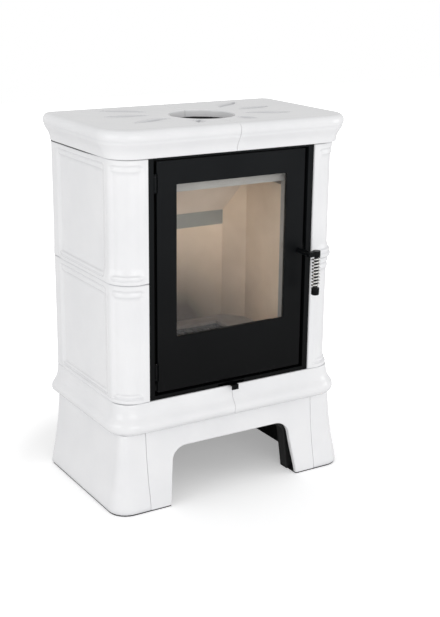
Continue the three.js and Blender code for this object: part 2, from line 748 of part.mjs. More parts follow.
// The front sheet carries the reveal of the fire opening and has the mouth of the ash pan under it.
function bodyFrontSheet() {
  const half = fireboxHalf;
  const sheet = block([-surroundHalf, surroundHalf], [frontSheet, frontSheetBack], [bodyBase, surroundTop]);
  const reveal = block(
    [-half - FRONT_SHEET, half + FRONT_SHEET],
    [frontSheet, frontSheetBack + REVEAL_DEPTH],
    [mouthBottom - FRONT_SHEET, mouthTop + FRONT_SHEET],
  );
  const panMouth = PAN_HALF_WIDTH + PAN_CLEARANCE;
  return cut(
    join(sheet, reveal),
    block([-half, half], [0, FAR], [mouthBottom, mouthTop]),
    block([-panMouth, panMouth], [0, FAR], [panShelf, panBase + PAN_HEIGHT + PAN_CLEARANCE / 2]),
    sliderSlot(),
  );
}

// ---------------------------------------------------------------- air slider
const sliderBase = legTop + PLAY + GUIDE_SHEET + PLAY;
const sliderTop = sliderBase + SLIDER_THICKNESS;
const sliderFront = bodyFront + GUIDE_SHEET + PLAY;

const tabWidth = [-TAB_HALF_WIDTH, TAB_HALF_WIDTH];
const tabRoom = [-TAB_HALF_WIDTH - SLIDER_TRAVEL - TAB_PLAY, TAB_HALF_WIDTH + SLIDER_TRAVEL + TAB_PLAY];

function sliderSlot() {
  return block(tabRoom, [-FAR, frontSheetBack + 1], [sliderBase - 1, sliderTop + 1]);
}

function airSlider() {
  const plate = block(
    [-SLIDER_HALF_WIDTH, SLIDER_HALF_WIDTH],
    [sliderFront, sliderFront + SLIDER_DEPTH],
    [sliderBase, sliderTop],
  );
  const tab = block(tabWidth, [-TAB_REACH, sliderFront + 1], [sliderBase, sliderTop]);
  const lip = block(tabWidth, [-TAB_REACH, SLIDER_THICKNESS - TAB_REACH], [sliderBase - TAB_LIP, sliderTop]);
  const ports = [-1, 1].map((side) =>
    block(
      [side * AIR_PORT_X - AIR_SLOT / 2, side * AIR_PORT_X + AIR_SLOT / 2],
      [sliderFront + 10, sliderFront + 10 + AIR_SLOT_LENGTH],
      [0, FAR],
    ),
  );
  return cut(join(plate, tab, lip), ...ports);
}

function sliderGuide() {
  const reach = SLIDER_HALF_WIDTH + SLIDER_TRAVEL;
  const depth = [bodyFront, sliderFront + SLIDER_DEPTH + PLAY + GUIDE_SHEET];
  const channel = cut(
    block([-reach, reach], depth, [legTop + PLAY, sliderTop + GUIDE_SHEET]),
    block(
      [-FAR, FAR],
      [sliderFront - PLAY, sliderFront + SLIDER_DEPTH + PLAY],
      [sliderBase - PLAY, FAR],
    ),
    block(tabRoom, [0, sliderFront], [sliderBase - PLAY, FAR]),
    block([-AIR_BOX_HALF_WIDTH, AIR_BOX_HALF_WIDTH], [sliderFront + 8, AIR_BOX_BACK - 8], [0, FAR]),
  );
  return channel;
}

place("air_slider", airSlider(), blackPaint);
place("slider_guide", sliderGuide(), blackSteel);
place("front_sheet", bodyFrontSheet(), greySteel);

// ---------------------------------------------------------------- flue collar and rear outlet
function flueCollar() {
  const inner = FLUE_PIPE_RADIUS - FLUE_WALL;
  const foot = bodyTop + PLAY;
  const profile = [
    [inner, foot],
    [FLUE_PIPE_RADIUS + FLUE_FLANGE, foot],
    [FLUE_PIPE_RADIUS + FLUE_FLANGE, foot + FLUE_WALL],
    [FLUE_PIPE_RADIUS, foot + FLUE_WALL],
    [FLUE_PIPE_RADIUS, slabUnderside - FLUE_COLLAR_DROP],
    [inner, slabUnderside - FLUE_COLLAR_DROP],
    [inner, foot],
  ];
  const ring = new THREE.LatheGeometry(profile.map(([r, z]) => new THREE.Vector2(r, z)), 32);
  ring.rotateX(Math.PI / 2);
  ring.translate(0, FLUE_CENTRE, 0);
  return solidOf(ring);
}

place("flue_collar", flueCollar(), blackSteel);

function outletLid() {
  const plug = bar(FLUE_PIPE_RADIUS - 1, [0, outletHeight], "y", bodyBack - BODY_SHEET, bodyBack + 1, 32);
  const disc = bar(outletCover, [0, outletHeight], "y", bodyBack + PLAY, bodyBack + PLAY + OUTLET_SHEET, 32);
  return join(plug, disc);
}

place("outlet_cover", outletLid(), blackSteel);

// ---------------------------------------------------------------- hearth, linings, duct and baffles
const liningBase = hearthHeight + PLAY;
const ashHoleHalf = GRATE_HALF_WIDTH - GRATE_SEAT;
const ashHoleDepth = [GRATE_FRONT + GRATE_SEAT, GRATE_BACK - GRATE_SEAT];

function hearthPlate() {
  const plate = block(bodySides, bodyDepth, [hearthUnderside, hearthHeight]);
  return cut(plate, block([-ashHoleHalf, ashHoleHalf], ashHoleDepth, [0, FAR]));
}

place("hearth_plate", hearthPlate(), blackSteel);

const brickBack = fireboxBack + LINING;

function grate() {
  const base = hearthHeight + PLAY;
  const height = [base, base + GRATE_THICKNESS];
  const plate = block([-GRATE_HALF_WIDTH, GRATE_HALF_WIDTH], [GRATE_FRONT, GRATE_BACK], height);
  const pitch = (2 * (GRATE_HALF_WIDTH - GRATE_BORDER)) / (GRATE_BARS - 1);
  const slots = Array.from({ length: GRATE_BARS }, (_, i) => {
    const x = (i - (GRATE_BARS - 1) / 2) * pitch;
    const depth = [GRATE_FRONT + GRATE_BORDER, GRATE_BACK - GRATE_BORDER];
    return block([x - GRATE_SLOT / 2, x + GRATE_SLOT / 2], depth, [0, FAR]);
  });
  return cut(plate, ...slots);
}

place("grate", grate(), castIron);

const bevelFront = fireboxBack - BEVEL_DEPTH;
const brickOuter = fireboxHalf + LINING;
const sideBrick = block([fireboxHalf, brickOuter], [liningFront, bevelFront - PLAY], [liningBase, liningTop]);
placePair("lining_side", sideBrick, vermiculite);

function bevelBrick(grow) {
  const points = [
    [brickOuter + grow, bevelFront - grow],
    [brickOuter + grow, brickBack + grow],
    [bevelX - grow, brickBack + grow],
    [bevelX - grow, fireboxBack],
    [fireboxHalf - grow, bevelFront - grow],
  ];
  return prism(points, "z", liningBase - grow, liningTop + grow);
}

placePair("lining_bevel", bevelBrick(0), vermiculite);

function floorBrick() {
  const sides = [PLAY - fireboxHalf, fireboxHalf - PLAY];
  const brick = block(sides, [liningFront, fireboxBack - PLAY], [liningBase, floorBrickTop]);
  const recessHalf = GRATE_HALF_WIDTH + PLAY;
  const recess = block([-recessHalf, recessHalf], [GRATE_FRONT - PLAY, GRATE_BACK + PLAY], [0, FAR]);
  const bevel = bevelBrick(PLAY);
  return cut(brick, recess, bevel, bevel.mirror([1, 0, 0]));
}

place("lining_floor", floorBrick(), vermiculite);

const rearSides = [PLAY - bevelX, bevelX - PLAY];
const rearBrick = block(rearSides, [fireboxBack, brickBack], [liningBase, ductBottom - PLAY]);
place("lining_rear", rearBrick, vermiculite);

function rearDuct() {
  const box = block(rearSides, [fireboxBack, brickBack], [ductBottom, ductTop]);
  const hollow = block(
    [2 * FRONT_SHEET - bevelX, FAR],
    [fireboxBack + DUCT_SHEET, brickBack - DUCT_SHEET],
    [ductBottom + DUCT_SHEET, ductTop - DUCT_SHEET],
  );
  return cut(box, hollow);
}

place("rear_duct", rearDuct(), greySteel);

// The brick that leans over the fire from the duct up to the flat baffle plate.
function slopeBrick() {
  const base = ductTop + PLAY;
  const rise = liningTop - base;
  const lean = rise / Math.tan(THREE.MathUtils.degToRad(BAFFLE_SLOPE));
  const thick = BAFFLE_THICKNESS / Math.sin(THREE.MathUtils.degToRad(BAFFLE_SLOPE));
  const profile = [
    [fireboxBack, base],
    [fireboxBack + thick, base],
    [fireboxBack - lean + thick, liningTop],
    [fireboxBack - lean, liningTop],
  ];
  const brick = prism(profile, "x", PLAY - fireboxHalf, fireboxHalf - PLAY);
  const bevel = bevelBrick(PLAY);
  return cut(brick, bevel, bevel.mirror([1, 0, 0]));
}

place("baffle_slope", slopeBrick(), vermiculite);
const bafflePlate = [liningTop + PLAY, liningTop + PLAY + BAFFLE_THICKNESS];
place("baffle_plate", block([-brickOuter, brickOuter], [BAFFLE_FRONT, brickBack], bafflePlate), vermiculite);

// ---------------------------------------------------------------- ash pan
function ashPan() {
  const front = frontSheet + PLAY;
  const height = [panBase, panBase + PAN_HEIGHT];
  const box = block([-PAN_HALF_WIDTH, PAN_HALF_WIDTH], [front, front + PAN_DEPTH], height);
  const hollow = block(
    [PAN_SHEET - PAN_HALF_WIDTH, PAN_HALF_WIDTH - PAN_SHEET],
    [front + PAN_SHEET, front + PAN_DEPTH - PAN_SHEET],
    [panBase + PAN_SHEET, FAR * 2],
  );
  return cut(box, hollow);
}

place("ash_pan", ashPan(), blackSteel);

// ---------------------------------------------------------------- surround
const lugSpans = [
  [leafBase + HINGE_LUG_FROM_END, leafBase + HINGE_LUG_FROM_END + HINGE_LUG_HEIGHT],
  [leafTop - HINGE_LUG_FROM_END - HINGE_LUG_HEIGHT, leafTop - HINGE_LUG_FROM_END],
];
const pinReach = HINGE_TAB + PLAY;
const pinHole = HINGE_PIN_RADIUS + PLAY;
const knuckle = pinHole + KNUCKLE_WALL;
const hingeAxis = [hingeX, hingeY];
const besideLug = pinReach + 2 * PLAY;

function surround() {
  const depth = [SURROUND_RECESS, frontSheet - PLAY];
  const ring = cut(
    block([-surroundHalf, surroundHalf], depth, [surroundBase, surroundTop]),
    block([-frameOpeningHalf, frameOpeningHalf], [0, FAR], [frameOpeningBase, frameOpeningTop]),
    sliderSlot(),
  );
  const tabs = lugSpans.flatMap(([low, high]) =>
    [low - PLAY - HINGE_TAB, high + PLAY].map((z) =>
      cut(
        join(
          bar(knuckle, hingeAxis, "z", z, z + HINGE_TAB, 20),
          block([-frameOpeningHalf - 1, hingeX], [hingeY - pinHole, hingeY + pinHole], [z, z + HINGE_TAB]),
        ),
        bar(pinHole, hingeAxis, "z", z - 1, z + HINGE_TAB + 1, 16),
      ),
    ),
  );
  return join(ring, ...tabs);
}

place("surround", surround(), blackPaint);

lugSpans.forEach(([low, high], i) => {
  const pin = bar(HINGE_PIN_RADIUS, hingeAxis, "z", low - pinReach, high + pinReach, 16);
  place(["hinge_pin_bottom", "hinge_pin_top"][i], pin, brightSteel);
});

// ---------------------------------------------------------------- door
const leafNotches = lugSpans.map(([low, high]) =>
  block([-FAR, hingeX + knuckle + 2 * PLAY], [0, FAR], [low - besideLug, high + besideLug]),
);

function doorLeaf() {
  const window = block([-windowHalf, windowHalf], [0, FAR], [windowBase, windowTop]);
  const leaf = block([-leafHalf, leafHalf], [LEAF_RECESS, leafBack], [leafBase, leafTop]);
  const spindleHole = bar(SPINDLE_RADIUS + PLAY, [spindleX, spindleHeight], "y", 0, FAR, 20);
  return cut(leaf, window, spindleHole, ...leafNotches);
}

place("door_leaf", doorLeaf(), blackPaint);

const glassHalf = windowHalf + GLASS_LAP;
const glassBase = windowBase - GLASS_LAP;
const glassTop = windowTop + GLASS_LAP;
const glassFront = leafBack + PLAY;
const glassBack = glassFront + GLASS_THICKNESS;
const glass = block([-glassHalf, glassHalf], [glassFront, glassBack], [glassBase, glassTop]);
place("door_glass", glass, clearGlass);

function doorFrame() {
  const frame = block(
    [-doorFrameHalf, doorFrameHalf],
    [doorFrameFront, doorFrameBack],
    [doorFrameBase, doorFrameTop],
  );
  const pocket = block(
    [-glassHalf - PLAY, glassHalf + PLAY],
    [0, FAR],
    [glassBase - PLAY, glassTop + PLAY],
  );
  const spindleHole = bar(SPINDLE_RADIUS + PLAY, [spindleX, spindleHeight], "y", 0, FAR, 20);
  const lugSeats = lugSpans.map(([low, high]) =>
    block([-FAR, LUG_DEEP - doorFrameHalf], [0, FAR], [low - besideLug, high + besideLug]),
  );
  return cut(frame, pocket, spindleHole, ...lugSeats);
}

place("door_frame", doorFrame(), blackPaint);

lugSpans.forEach(([low, high], i) => {
  const right = LUG_DEEP - doorFrameHalf - PLAY;
  const lug = cut(
    join(
      bar(knuckle, hingeAxis, "z", low, high, 20),
      block([hingeX, right], [doorFrameFront, hingeY + knuckle], [low, high]),
      block([PLAY - doorFrameHalf, right], [doorFrameFront, doorFrameBack], [low, high]),
    ),
    bar(pinHole, hingeAxis, "z", 0, stoveTop, 16),
  );
  place(["hinge_lug_bottom", "hinge_lug_top"][i], lug, blackPaint);
});

function ring([x0, x1], [z0, z1], width, depth) {
  return cut(
    block([x0, x1], depth, [z0, z1]),
    block([x0 + width, x1 - width], [-FAR, FAR], [z0 + width, z1 - width]),
  );
}

const tapeDepth = [glassBack + PLAY, doorFrameBack];
const tape = ring([-glassHalf, glassHalf], [glassBase, glassTop], GLASS_LAP - 2, tapeDepth);
place("glass_gasket", tape, ceramicRope);

// Flat strips that hold the glass, screwed to the back of the inner frame above and below it.
function glassClip(side) {
  const edge = side > 0 ? glassTop : glassBase;
  const levels = [edge - side * (GLASS_LAP - 2), edge + side * CLIP_LAP].sort((a, b) => a - b);
  const depth = [doorFrameBack + PLAY, doorFrameBack + PLAY + CLIP_SHEET];
  return block([-CLIP_HALF_WIDTH, CLIP_HALF_WIDTH], depth, levels);
}

place("glass_clip_top", glassClip(1), blackSteel);
place("glass_clip_bottom", glassClip(-1), blackSteel);

// Rope gasket: a closed ring of oval section in the back of the door.
function doorRope() {
  const x = doorFrameHalf - ROPE_SIDE_INSET;
  const low = doorFrameBase + ROPE_END_INSET;
  const high = doorFrameTop - ROPE_END_INSET;
  const round = ROPE_WIDTH;
  const path = [
    ...quarter([-x + round, low + round], round, 180, 3),
    ...quarter([x - round, low + round], round, 270, 3),
    ...quarter([x - round, high - round], round, 0, 3),
    ...quarter([-x + round, high - round], round, 90, 3),
  ];
  const sides = 8;
  const middle = ropeFront + ROPE_THICKNESS / 2;
  const positions = [];
  const index = [];
  path.forEach(([px, pz], i) => {
    const before = path.at(i - 1);
    const after = path[(i + 1) % path.length];
    const way = new THREE.Vector2(after[0] - before[0], after[1] - before[1]).normalize();
    for (let j = 0; j < sides; j += 1) {
      const turn = (2 * Math.PI * (j + 0.5)) / sides;
      const out = (ROPE_WIDTH / 2) * Math.cos(turn);
      positions.push(px + way.y * out, middle + (ROPE_THICKNESS / 2) * Math.sin(turn), pz - way.x * out);
      const a = i * sides + j;
      const b = i * sides + ((j + 1) % sides);
      const c = ((i + 1) % path.length) * sides;
      index.push(a, b, c + j, b, c + ((j + 1) % sides), c + j);
    }
  });
  const geometry = new THREE.BufferGeometry();
  geometry.setAttribute("position", new THREE.Float32BufferAttribute(positions, 3));
  geometry.setIndex(index);
  return solidOf(geometry);
}

place("door_rope", doorRope(), ceramicRope);

// ---------------------------------------------------------------- latch and handle
const latch = [spindleX, spindleHeight];
const armTop = spindleHeight + CAP_TOP / 2;
const coilTop = spindleHeight - CAP_TOP / 2 - PLAY;
const coilBottom = coilTop - coilLength;
const capBottomTop = coilBottom - PLAY;
const handleBottom = capBottomTop - CAP_BOTTOM;
const tongueDepth = [doorFrameBack + PLAY, doorFrameBack + PLAY + TONGUE_THICKNESS];
const spindleBack = tongueDepth[1] + 2.5;
const armBack = handleY + ARM_SIZE / 2;
const armFront = handleY - ARM_SIZE / 2;

function spindle() {
  const shaft = bar(SPINDLE_RADIUS, latch, "y", armBack + PLAY, spindleBack, 20);
  const collar = bar(SPINDLE_COLLAR, latch, "y", armBack + PLAY, LEAF_RECESS - PLAY, 20);
  return join(shaft, collar);
}

place("latch_spindle", spindle(), blackPaint);

const tongueTip = frameOpeningHalf - PLAY - KEEPER_THICKNESS - TONGUE_CLEARANCE;

function tongue() {
  const blade = block(
    [spindleX - TONGUE_WIDTH / 2, tongueTip],
    tongueDepth,
    [spindleHeight - TONGUE_WIDTH / 2, spindleHeight + TONGUE_WIDTH / 2],
  );
  return cut(blade, bar(SPINDLE_RADIUS + PLAY / 2, latch, "y", 0, FAR, 20));
}

place("latch_tongue", tongue(), brightSteel);

const keeperHeight = [spindleHeight - TONGUE_WIDTH, spindleHeight + TONGUE_WIDTH];
const keeperSide = [frameOpeningHalf - PLAY - KEEPER_THICKNESS, frameOpeningHalf - PLAY];
place("latch_keeper", block(keeperSide, [tongueDepth[0] - 4, frontSheet - PLAY], keeperHeight), brightSteel);

// The arm reaches from the spindle to an eye that sits on top of the coil.
function handleArm() {
  const lever = block(
    [spindleX - ARM_SIZE / 2, handleX],
    [armFront, armBack],
    [spindleHeight - ARM_SIZE / 2, spindleHeight + ARM_SIZE / 2],
  );
  const eye = bar(CAP_RADIUS, [handleX, handleY], "z", armTop - CAP_TOP, armTop, 24);
  return cut(join(lever, eye), bar(HANDLE_ROD_RADIUS + PLAY / 2, [handleX, handleY], "z", 0, armTop - 3, 20));
}

place("handle_arm", handleArm(), blackPaint);
const rodSpan = [handleBottom + 4 + PLAY, armTop - 3 - PLAY];
place("handle_rod", bar(HANDLE_ROD_RADIUS, [handleX, handleY], "z", ...rodSpan, 20), blackSteel);

function bottomCap() {
  const profile = [
    [0, handleBottom],
    [CAP_RADIUS - 2.5, handleBottom],
    [CAP_RADIUS, handleBottom + 2.5],
    [CAP_RADIUS, capBottomTop],
    [HANDLE_ROD_RADIUS + PLAY / 2, capBottomTop],
    [HANDLE_ROD_RADIUS + PLAY / 2, handleBottom + 4],
    [0, handleBottom + 4],
  ];
  const cap = new THREE.LatheGeometry(profile.map(([r, z]) => new THREE.Vector2(r, z)), 24);
  cap.rotateX(Math.PI / 2);
  cap.translate(handleX, handleY, 0);
  return solidOf(cap);
}

place("handle_cap", bottomCap(), blackPaint);

// The coil: one tube wound round the rod, eight steps to a curl and five sides to the wire.
const COIL_STEPS = 8;
const COIL_SIDES = 5;

function coilPoint(step) {
  const turn = (2 * Math.PI * step) / COIL_STEPS;
  const climb = (coilLength - 2 * COIL_WIRE_RADIUS) / (COIL_CURLS * COIL_STEPS);
  return new THREE.Vector3(
    handleX + COIL_RADIUS * Math.cos(turn),
    handleY + COIL_RADIUS * Math.sin(turn),
    coilBottom + COIL_WIRE_RADIUS + climb * step,
  );
}

function coil() {
  const steps = COIL_CURLS * COIL_STEPS;
  const positions = [];
  const index = [];
  for (let step = 0; step <= steps; step += 1) {
    const centre = coilPoint(step);
    const out = new THREE.Vector3(centre.x - handleX, centre.y - handleY, 0).normalize();
    const up = new THREE.Vector3(0, 0, 1);
    for (let side = 0; side < COIL_SIDES; side += 1) {
      const turn = (2 * Math.PI * side) / COIL_SIDES;
      const point = centre.clone();
      point.addScaledVector(out, COIL_WIRE_RADIUS * Math.cos(turn));
      point.addScaledVector(up, COIL_WIRE_RADIUS * Math.sin(turn));
      positions.push(point.x, point.y, point.z);
      if (step === steps) continue;
      const a = step * COIL_SIDES + side;
      const b = step * COIL_SIDES + ((side + 1) % COIL_SIDES);
      index.push(a, a + COIL_SIDES, b, b, a + COIL_SIDES, b + COIL_SIDES);
    }
  }
  const last = steps * COIL_SIDES;
  for (let side = 1; side + 1 < COIL_SIDES; side += 1) {
    index.push(0, side, side + 1);
    index.push(last, last + side + 1, last + side);
  }
  const geometry = new THREE.BufferGeometry();
  geometry.setAttribute("position", new THREE.Float32BufferAttribute(positions, 3));
  geometry.setIndex(index);
  return geometry;
}

// Least gap between one curl and the next, measured between surface points over half a curl apart.
function coilGap(geometry) {
  const at = geometry.attributes.position;
  const stepOf = (i) => Math.floor(i / COIL_SIDES);
  const here = new THREE.Vector3();
  const there = new THREE.Vector3();
  let least = Infinity;
  for (let i = 0; i < at.count; i += 1) {
    here.fromBufferAttribute(at, i);
    for (let j = i + 1; j < at.count; j += 1) {
      if (stepOf(j) - stepOf(i) <= COIL_STEPS / 2) continue;
      least = Math.min(least, here.distanceTo(there.fromBufferAttribute(at, j)));
    }
  }
  return least;
}

const coilTube = coil();
console.log(`least gap between the curls of the handle: ${coilGap(coilTube).toFixed(2)} mm`);
place("handle_coil", solidOf(coilTube), brightSteel);

// ---------------------------------------------------------------- tile rails and rear shield
function tileRail() {
  const inner = jacketInner - PLAY;
  const outer = bodyHalf + PLAY;
  const depth = [JACKET_CORNER, bodyBack - RAIL_FLANGE];
  const webTop = lowerTileTop + RAIL_SHEET;
  const web = block([outer, inner], depth, [lowerTileTop, webTop]);
  const atBody = block([outer, outer + RAIL_SHEET], depth, [lowerTileTop, lowerTileTop + RAIL_FLANGE]);
  const atTile = block([inner - RAIL_SHEET, inner], depth, [lowerTileTop - RAIL_FLANGE, webTop]);
  return join(web, atBody, atTile);
}

placePair("tile_rail", tileRail(), blackSteel);

function rearShield() {
  const back = JACKET_DEPTH - SHIELD_FROM_BACK;
  const sides = [-jacketInner + PLAY, jacketInner - PLAY];
  const sheet = block(sides, [back - SHIELD_SHEET, back], [ledgeTop + PLAY, upperTileTop]);
  const slots = [];
  for (let row = 0; row < SHIELD_ROWS; row += 1) {
    for (let column = 0; column < SHIELD_COLUMNS; column += 1) {
      const x = (column - (SHIELD_COLUMNS - 1) / 2) * SHIELD_SLOT_PITCH;
      const z = bodyBase + SHIELD_SLOT_RISE + row * SHIELD_ROW_PITCH;
      slots.push(block([x - SHIELD_SLOT / 2, x + SHIELD_SLOT / 2], [0, FAR], [z, z + SHIELD_SLOT_HEIGHT]));
    }
  }
  const outlet = bar(outletCover + OUTLET_GAP, [0, outletHeight], "y", 0, FAR, 32);
  return cut(sheet, ...slots, outlet);
}

place("rear_shield", rearShield(), blackSteel);

const stayX = bodyHalf - SHIELD_STAY_INSET;
const stay = block(
  [stayX - SHIELD_STAY_WIDTH / 2, stayX + SHIELD_STAY_WIDTH / 2],
  [bodyBack + PLAY, JACKET_DEPTH - SHIELD_FROM_BACK - SHIELD_SHEET - PLAY],
  [bodyBase + SHIELD_STAY_SHORT, bodyTop - SHIELD_STAY_SHORT],
);
placePair("shield_stay", stay, blackSteel);

export default stove;
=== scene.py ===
# %% [markdown]
# # A tiled wood stove, dressed for its portrait
#
# The stove is a sheet-steel firebox in a jacket of white glazed ceramics, with a black glazed door.
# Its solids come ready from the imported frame, each with its real place. This lesson adds what the
# solids can't carry: soft moulded ceramic skins, paint and iron finishes, the wound wire of the
# handle, screws, light and a camera.

# %% Tools
import json
import math

import bmesh
import bpy
import numpy as np
from mathutils import Matrix, Vector

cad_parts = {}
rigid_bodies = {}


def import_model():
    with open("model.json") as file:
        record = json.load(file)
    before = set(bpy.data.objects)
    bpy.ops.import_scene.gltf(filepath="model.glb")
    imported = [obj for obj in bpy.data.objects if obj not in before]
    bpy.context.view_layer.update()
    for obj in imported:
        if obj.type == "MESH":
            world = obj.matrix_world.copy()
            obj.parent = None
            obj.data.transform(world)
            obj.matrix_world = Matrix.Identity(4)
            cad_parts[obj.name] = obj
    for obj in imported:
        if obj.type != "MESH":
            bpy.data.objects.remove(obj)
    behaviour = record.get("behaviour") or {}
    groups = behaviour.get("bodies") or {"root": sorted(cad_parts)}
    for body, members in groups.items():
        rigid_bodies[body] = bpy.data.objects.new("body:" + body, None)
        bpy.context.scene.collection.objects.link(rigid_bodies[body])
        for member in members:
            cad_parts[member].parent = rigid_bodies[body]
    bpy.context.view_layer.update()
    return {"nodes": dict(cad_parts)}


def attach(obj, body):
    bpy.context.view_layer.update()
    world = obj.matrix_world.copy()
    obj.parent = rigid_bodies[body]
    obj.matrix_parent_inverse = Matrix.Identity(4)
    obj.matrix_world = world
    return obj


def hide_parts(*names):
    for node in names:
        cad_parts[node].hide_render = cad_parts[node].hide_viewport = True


# %% [markdown]
# ## The frame
# The frame is the stove as the makers' drawings have it. It could be modelled again by eye, but then
# doors would no longer meet their hinges. So it is loaded first, and every new piece is measured
# against it.

# %% Load the frame
for left_over in list(bpy.data.objects):
    bpy.data.objects.remove(left_over)
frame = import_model()
parts = frame["nodes"]

# %% [markdown]
# ## One way to say where things are
# On a drawing of a stove, depth is counted from the face of the tiles, in millimetres. The frame
# counts in metres from the middle. One small function turns the first into the second, so that
# sizes can be read as a stove maker writes them.

# %% Sizes of the stove, in millimetres
DEPTH_CENTRE = 147.5  # from the tiles' face to the frame's middle
HALF_WIDTH = 296.0
DEPTH = 346.0
JOINT = 0.8  # the gap between neighbouring ceramics
CORNICE_BASE, STOVE_TOP = 821.5, 886.0
SLAB_UNDERSIDE = 866.0
UPPER_TILE_BASE, LOWER_TILE_BASE = 542.2, 262.9
TILE_HEIGHT = 278.5
LEDGE_BASE, LEDGE_HEIGHT = 190.1, 72.0
PLINTH_BASE, PLINTH_HEIGHT = 3.3, 186.0
FLUE_CENTRE = 150.0  # behind the tiles' face


def to_frame(places):
    """Millimetres from the tiles' face, to metres in the frame."""
    return (np.asarray(places, float) - np.array([0.0, DEPTH_CENTRE, 0.0])) / 1000.0


print("front of the tiles in the frame:", to_frame([0, 0, 0])[1])

# %% [markdown]
# ## The camera
# The photograph looks down a little at the stove's front and left side. A camera could be nudged
# until it looks right, but perspective then never quite closes. Here the place, the turn and the
# lens were worked out from the stove's straight edges and are given as plain numbers.

# %% Camera
CAMERA_PLACE = Vector((-1.38905, -2.3406, 1.2470))
YAW, PITCH, ROLL = (math.radians(angle) for angle in (31.667, 17.023, 0.637))
LENS, SENSOR_WIDTH = 68.05, 36.0  # millimetres

forward = Vector((math.cos(PITCH) * math.sin(YAW), math.cos(PITCH) * math.cos(YAW), -math.sin(PITCH)))
level_right = Vector((math.cos(YAW), -math.sin(YAW), 0.0))
level_up = level_right.cross(forward)
right = math.cos(ROLL) * level_right + math.sin(ROLL) * level_up
up = -math.sin(ROLL) * level_right + math.cos(ROLL) * level_up
camera = bpy.data.objects.new("camera", bpy.data.cameras.new("camera"))
camera.data.lens = LENS
camera.data.sensor_width = SENSOR_WIDTH
camera.matrix_world = Matrix.Translation(CAMERA_PLACE) @ Matrix((right, up, -forward)).transposed().to_4x4()
bpy.context.scene.collection.objects.link(camera)
bpy.context.scene.camera = camera
print("camera is", round(CAMERA_PLACE.length, 2), "m from the stove's foot")

# %% [markdown]
# ## Building finishes
# Every finish here is a Principled shader with a few procedural nodes in front of it: a slow change
# of tone, a bump at the scale of the real surface, or flecks. Image textures would need files and
# would stretch at corners. Object coordinates are used, because the frame's objects all sit at the
# origin, so one metre in the texture is one metre on the stove.


# %% Helpers for finishes
def new_finish(name, roughness, metallic=0.0):
    material = bpy.data.materials.new(name)
    material.use_nodes = True
    shader = material.node_tree.nodes["Principled BSDF"]
    shader.inputs["Roughness"].default_value = roughness
    shader.inputs["Metallic"].default_value = metallic
    return material, material.node_tree, shader


def add_node(tree, kind, inputs=None, **settings):
    """A node whose inputs are linked to the sockets given, or set to the plain values given."""
    node = tree.nodes.new(kind)
    for name, value in settings.items():
        setattr(node, name, value)
    for name, value in (inputs or {}).items():
        if isinstance(value, bpy.types.NodeSocket):
            tree.links.new(value, node.inputs[name])
        else:
            node.inputs[name].default_value = value
    return node


def place_on_stove(tree):
    return add_node(tree, "ShaderNodeTexCoord").outputs["Object"]


def mapped_place(tree, **mapping):
    """The place on the stove, stretched, turned or moved."""
    inputs = {"Vector": place_on_stove(tree), **mapping}
    return add_node(tree, "ShaderNodeMapping", inputs).outputs["Vector"]


def noise(tree, scale, detail=3.0, stretch=(1, 1, 1)):
    inputs = {"Vector": mapped_place(tree, Scale=stretch), "Scale": scale, "Detail": detail}
    return add_node(tree, "ShaderNodeTexNoise", inputs).outputs["Fac"]


NO_TINT = (1.0, 1.0, 1.0)


def between(tree, factor, low, high, start=0.0, end=1.0):
    """A colour that goes from low to high as the factor goes from start to end."""
    ramp = add_node(tree, "ShaderNodeValToRGB", {"Fac": factor})
    for element, position, colour in zip(ramp.color_ramp.elements, (start, end), (low, high)):
        element.position = position
        element.color = (*colour, 1.0)
    return ramp.outputs["Color"]


def multiply(tree, first, second, amount=1.0):
    """Two colours multiplied. In a mix node, sockets 6 and 7 take the colours and 2 gives the result."""
    values = {0: amount, 6: first, 7: second}
    return add_node(tree, "ShaderNodeMix", values, data_type="RGBA", blend_type="MULTIPLY").outputs[2]


def calculate(tree, operation, *values):
    """The result of a sum whose values are sockets or plain numbers."""
    return add_node(tree, "ShaderNodeMath", dict(enumerate(values)), operation=operation).outputs["Value"]


def coat(tree, shader, colour, height, strength, distance):
    """Give a finish its colour, and a bump from a height."""
    inputs = {"Height": height, "Strength": strength, "Distance": distance}
    normal = add_node(tree, "ShaderNodeBump", inputs).outputs["Normal"]
    tree.links.new(colour, shader.inputs["Base Color"])
    tree.links.new(normal, shader.inputs["Normal"])


print("helpers for finishes are ready")

# %% [markdown]
# ## White glaze
# The jacket is moulded clay under a thick opaque white glaze. The glaze is glossy, a little uneven
# like the skin of a fruit. Shade in the grooves, flutes and joints and at the mouldings' feet is
# painted into its colour as a grey tint, which a plain white shader would lack. How much shade to
# paint comes from a value that the ceramic makers below write into each mesh where they sink a groove.

# %% Glaze
GLAZE_THIN, GLAZE_THICK = (0.835, 0.837, 0.85), (0.875, 0.875, 0.885)
# the grey of the painted shade in grooves, flutes and joints
GLAZE_SHADED = (0.40, 0.41, 0.435)


def make_glaze():
    material, tree, shader = new_finish("white_glaze", roughness=0.17)
    tone = between(tree, noise(tree, 7.0), GLAZE_THIN, GLAZE_THICK, 0.35, 0.65)
    # how much painted shade each point has, written by the ceramic makers below
    painted_shade = add_node(tree, "ShaderNodeAttribute", attribute_name="painted_shade")
    shade_tint = between(tree, painted_shade.outputs["Fac"], NO_TINT, GLAZE_SHADED)
    skin_bumps = noise(tree, 42.0, detail=2.0)
    coat(tree, shader, multiply(tree, tone, shade_tint), skin_bumps, strength=0.05, distance=0.004)
    return material


glaze = make_glaze()
print("glaze made")

# %% [markdown]
# ## Black paint and bare steel
# The door and its surround are sheet steel under heat-proof paint. Such paint dries nearly matt with
# a fine grain, and a painted reflection makes it a little lighter towards the top. The inner sheets
# are plainer: a duller coat, or bare steel that heat has turned grey. Each gets a grain at its own
# scale, so that neighbouring blacks can be told apart.


# %% Paints and metals
GRAIN_DEPTH = 0.0006  # metres, like the other lengths in finishes
SHEEN_HEIGHT = (0.3, 0.8)  # above the floor, from the darkest paint to the lightest, for the painted reflection
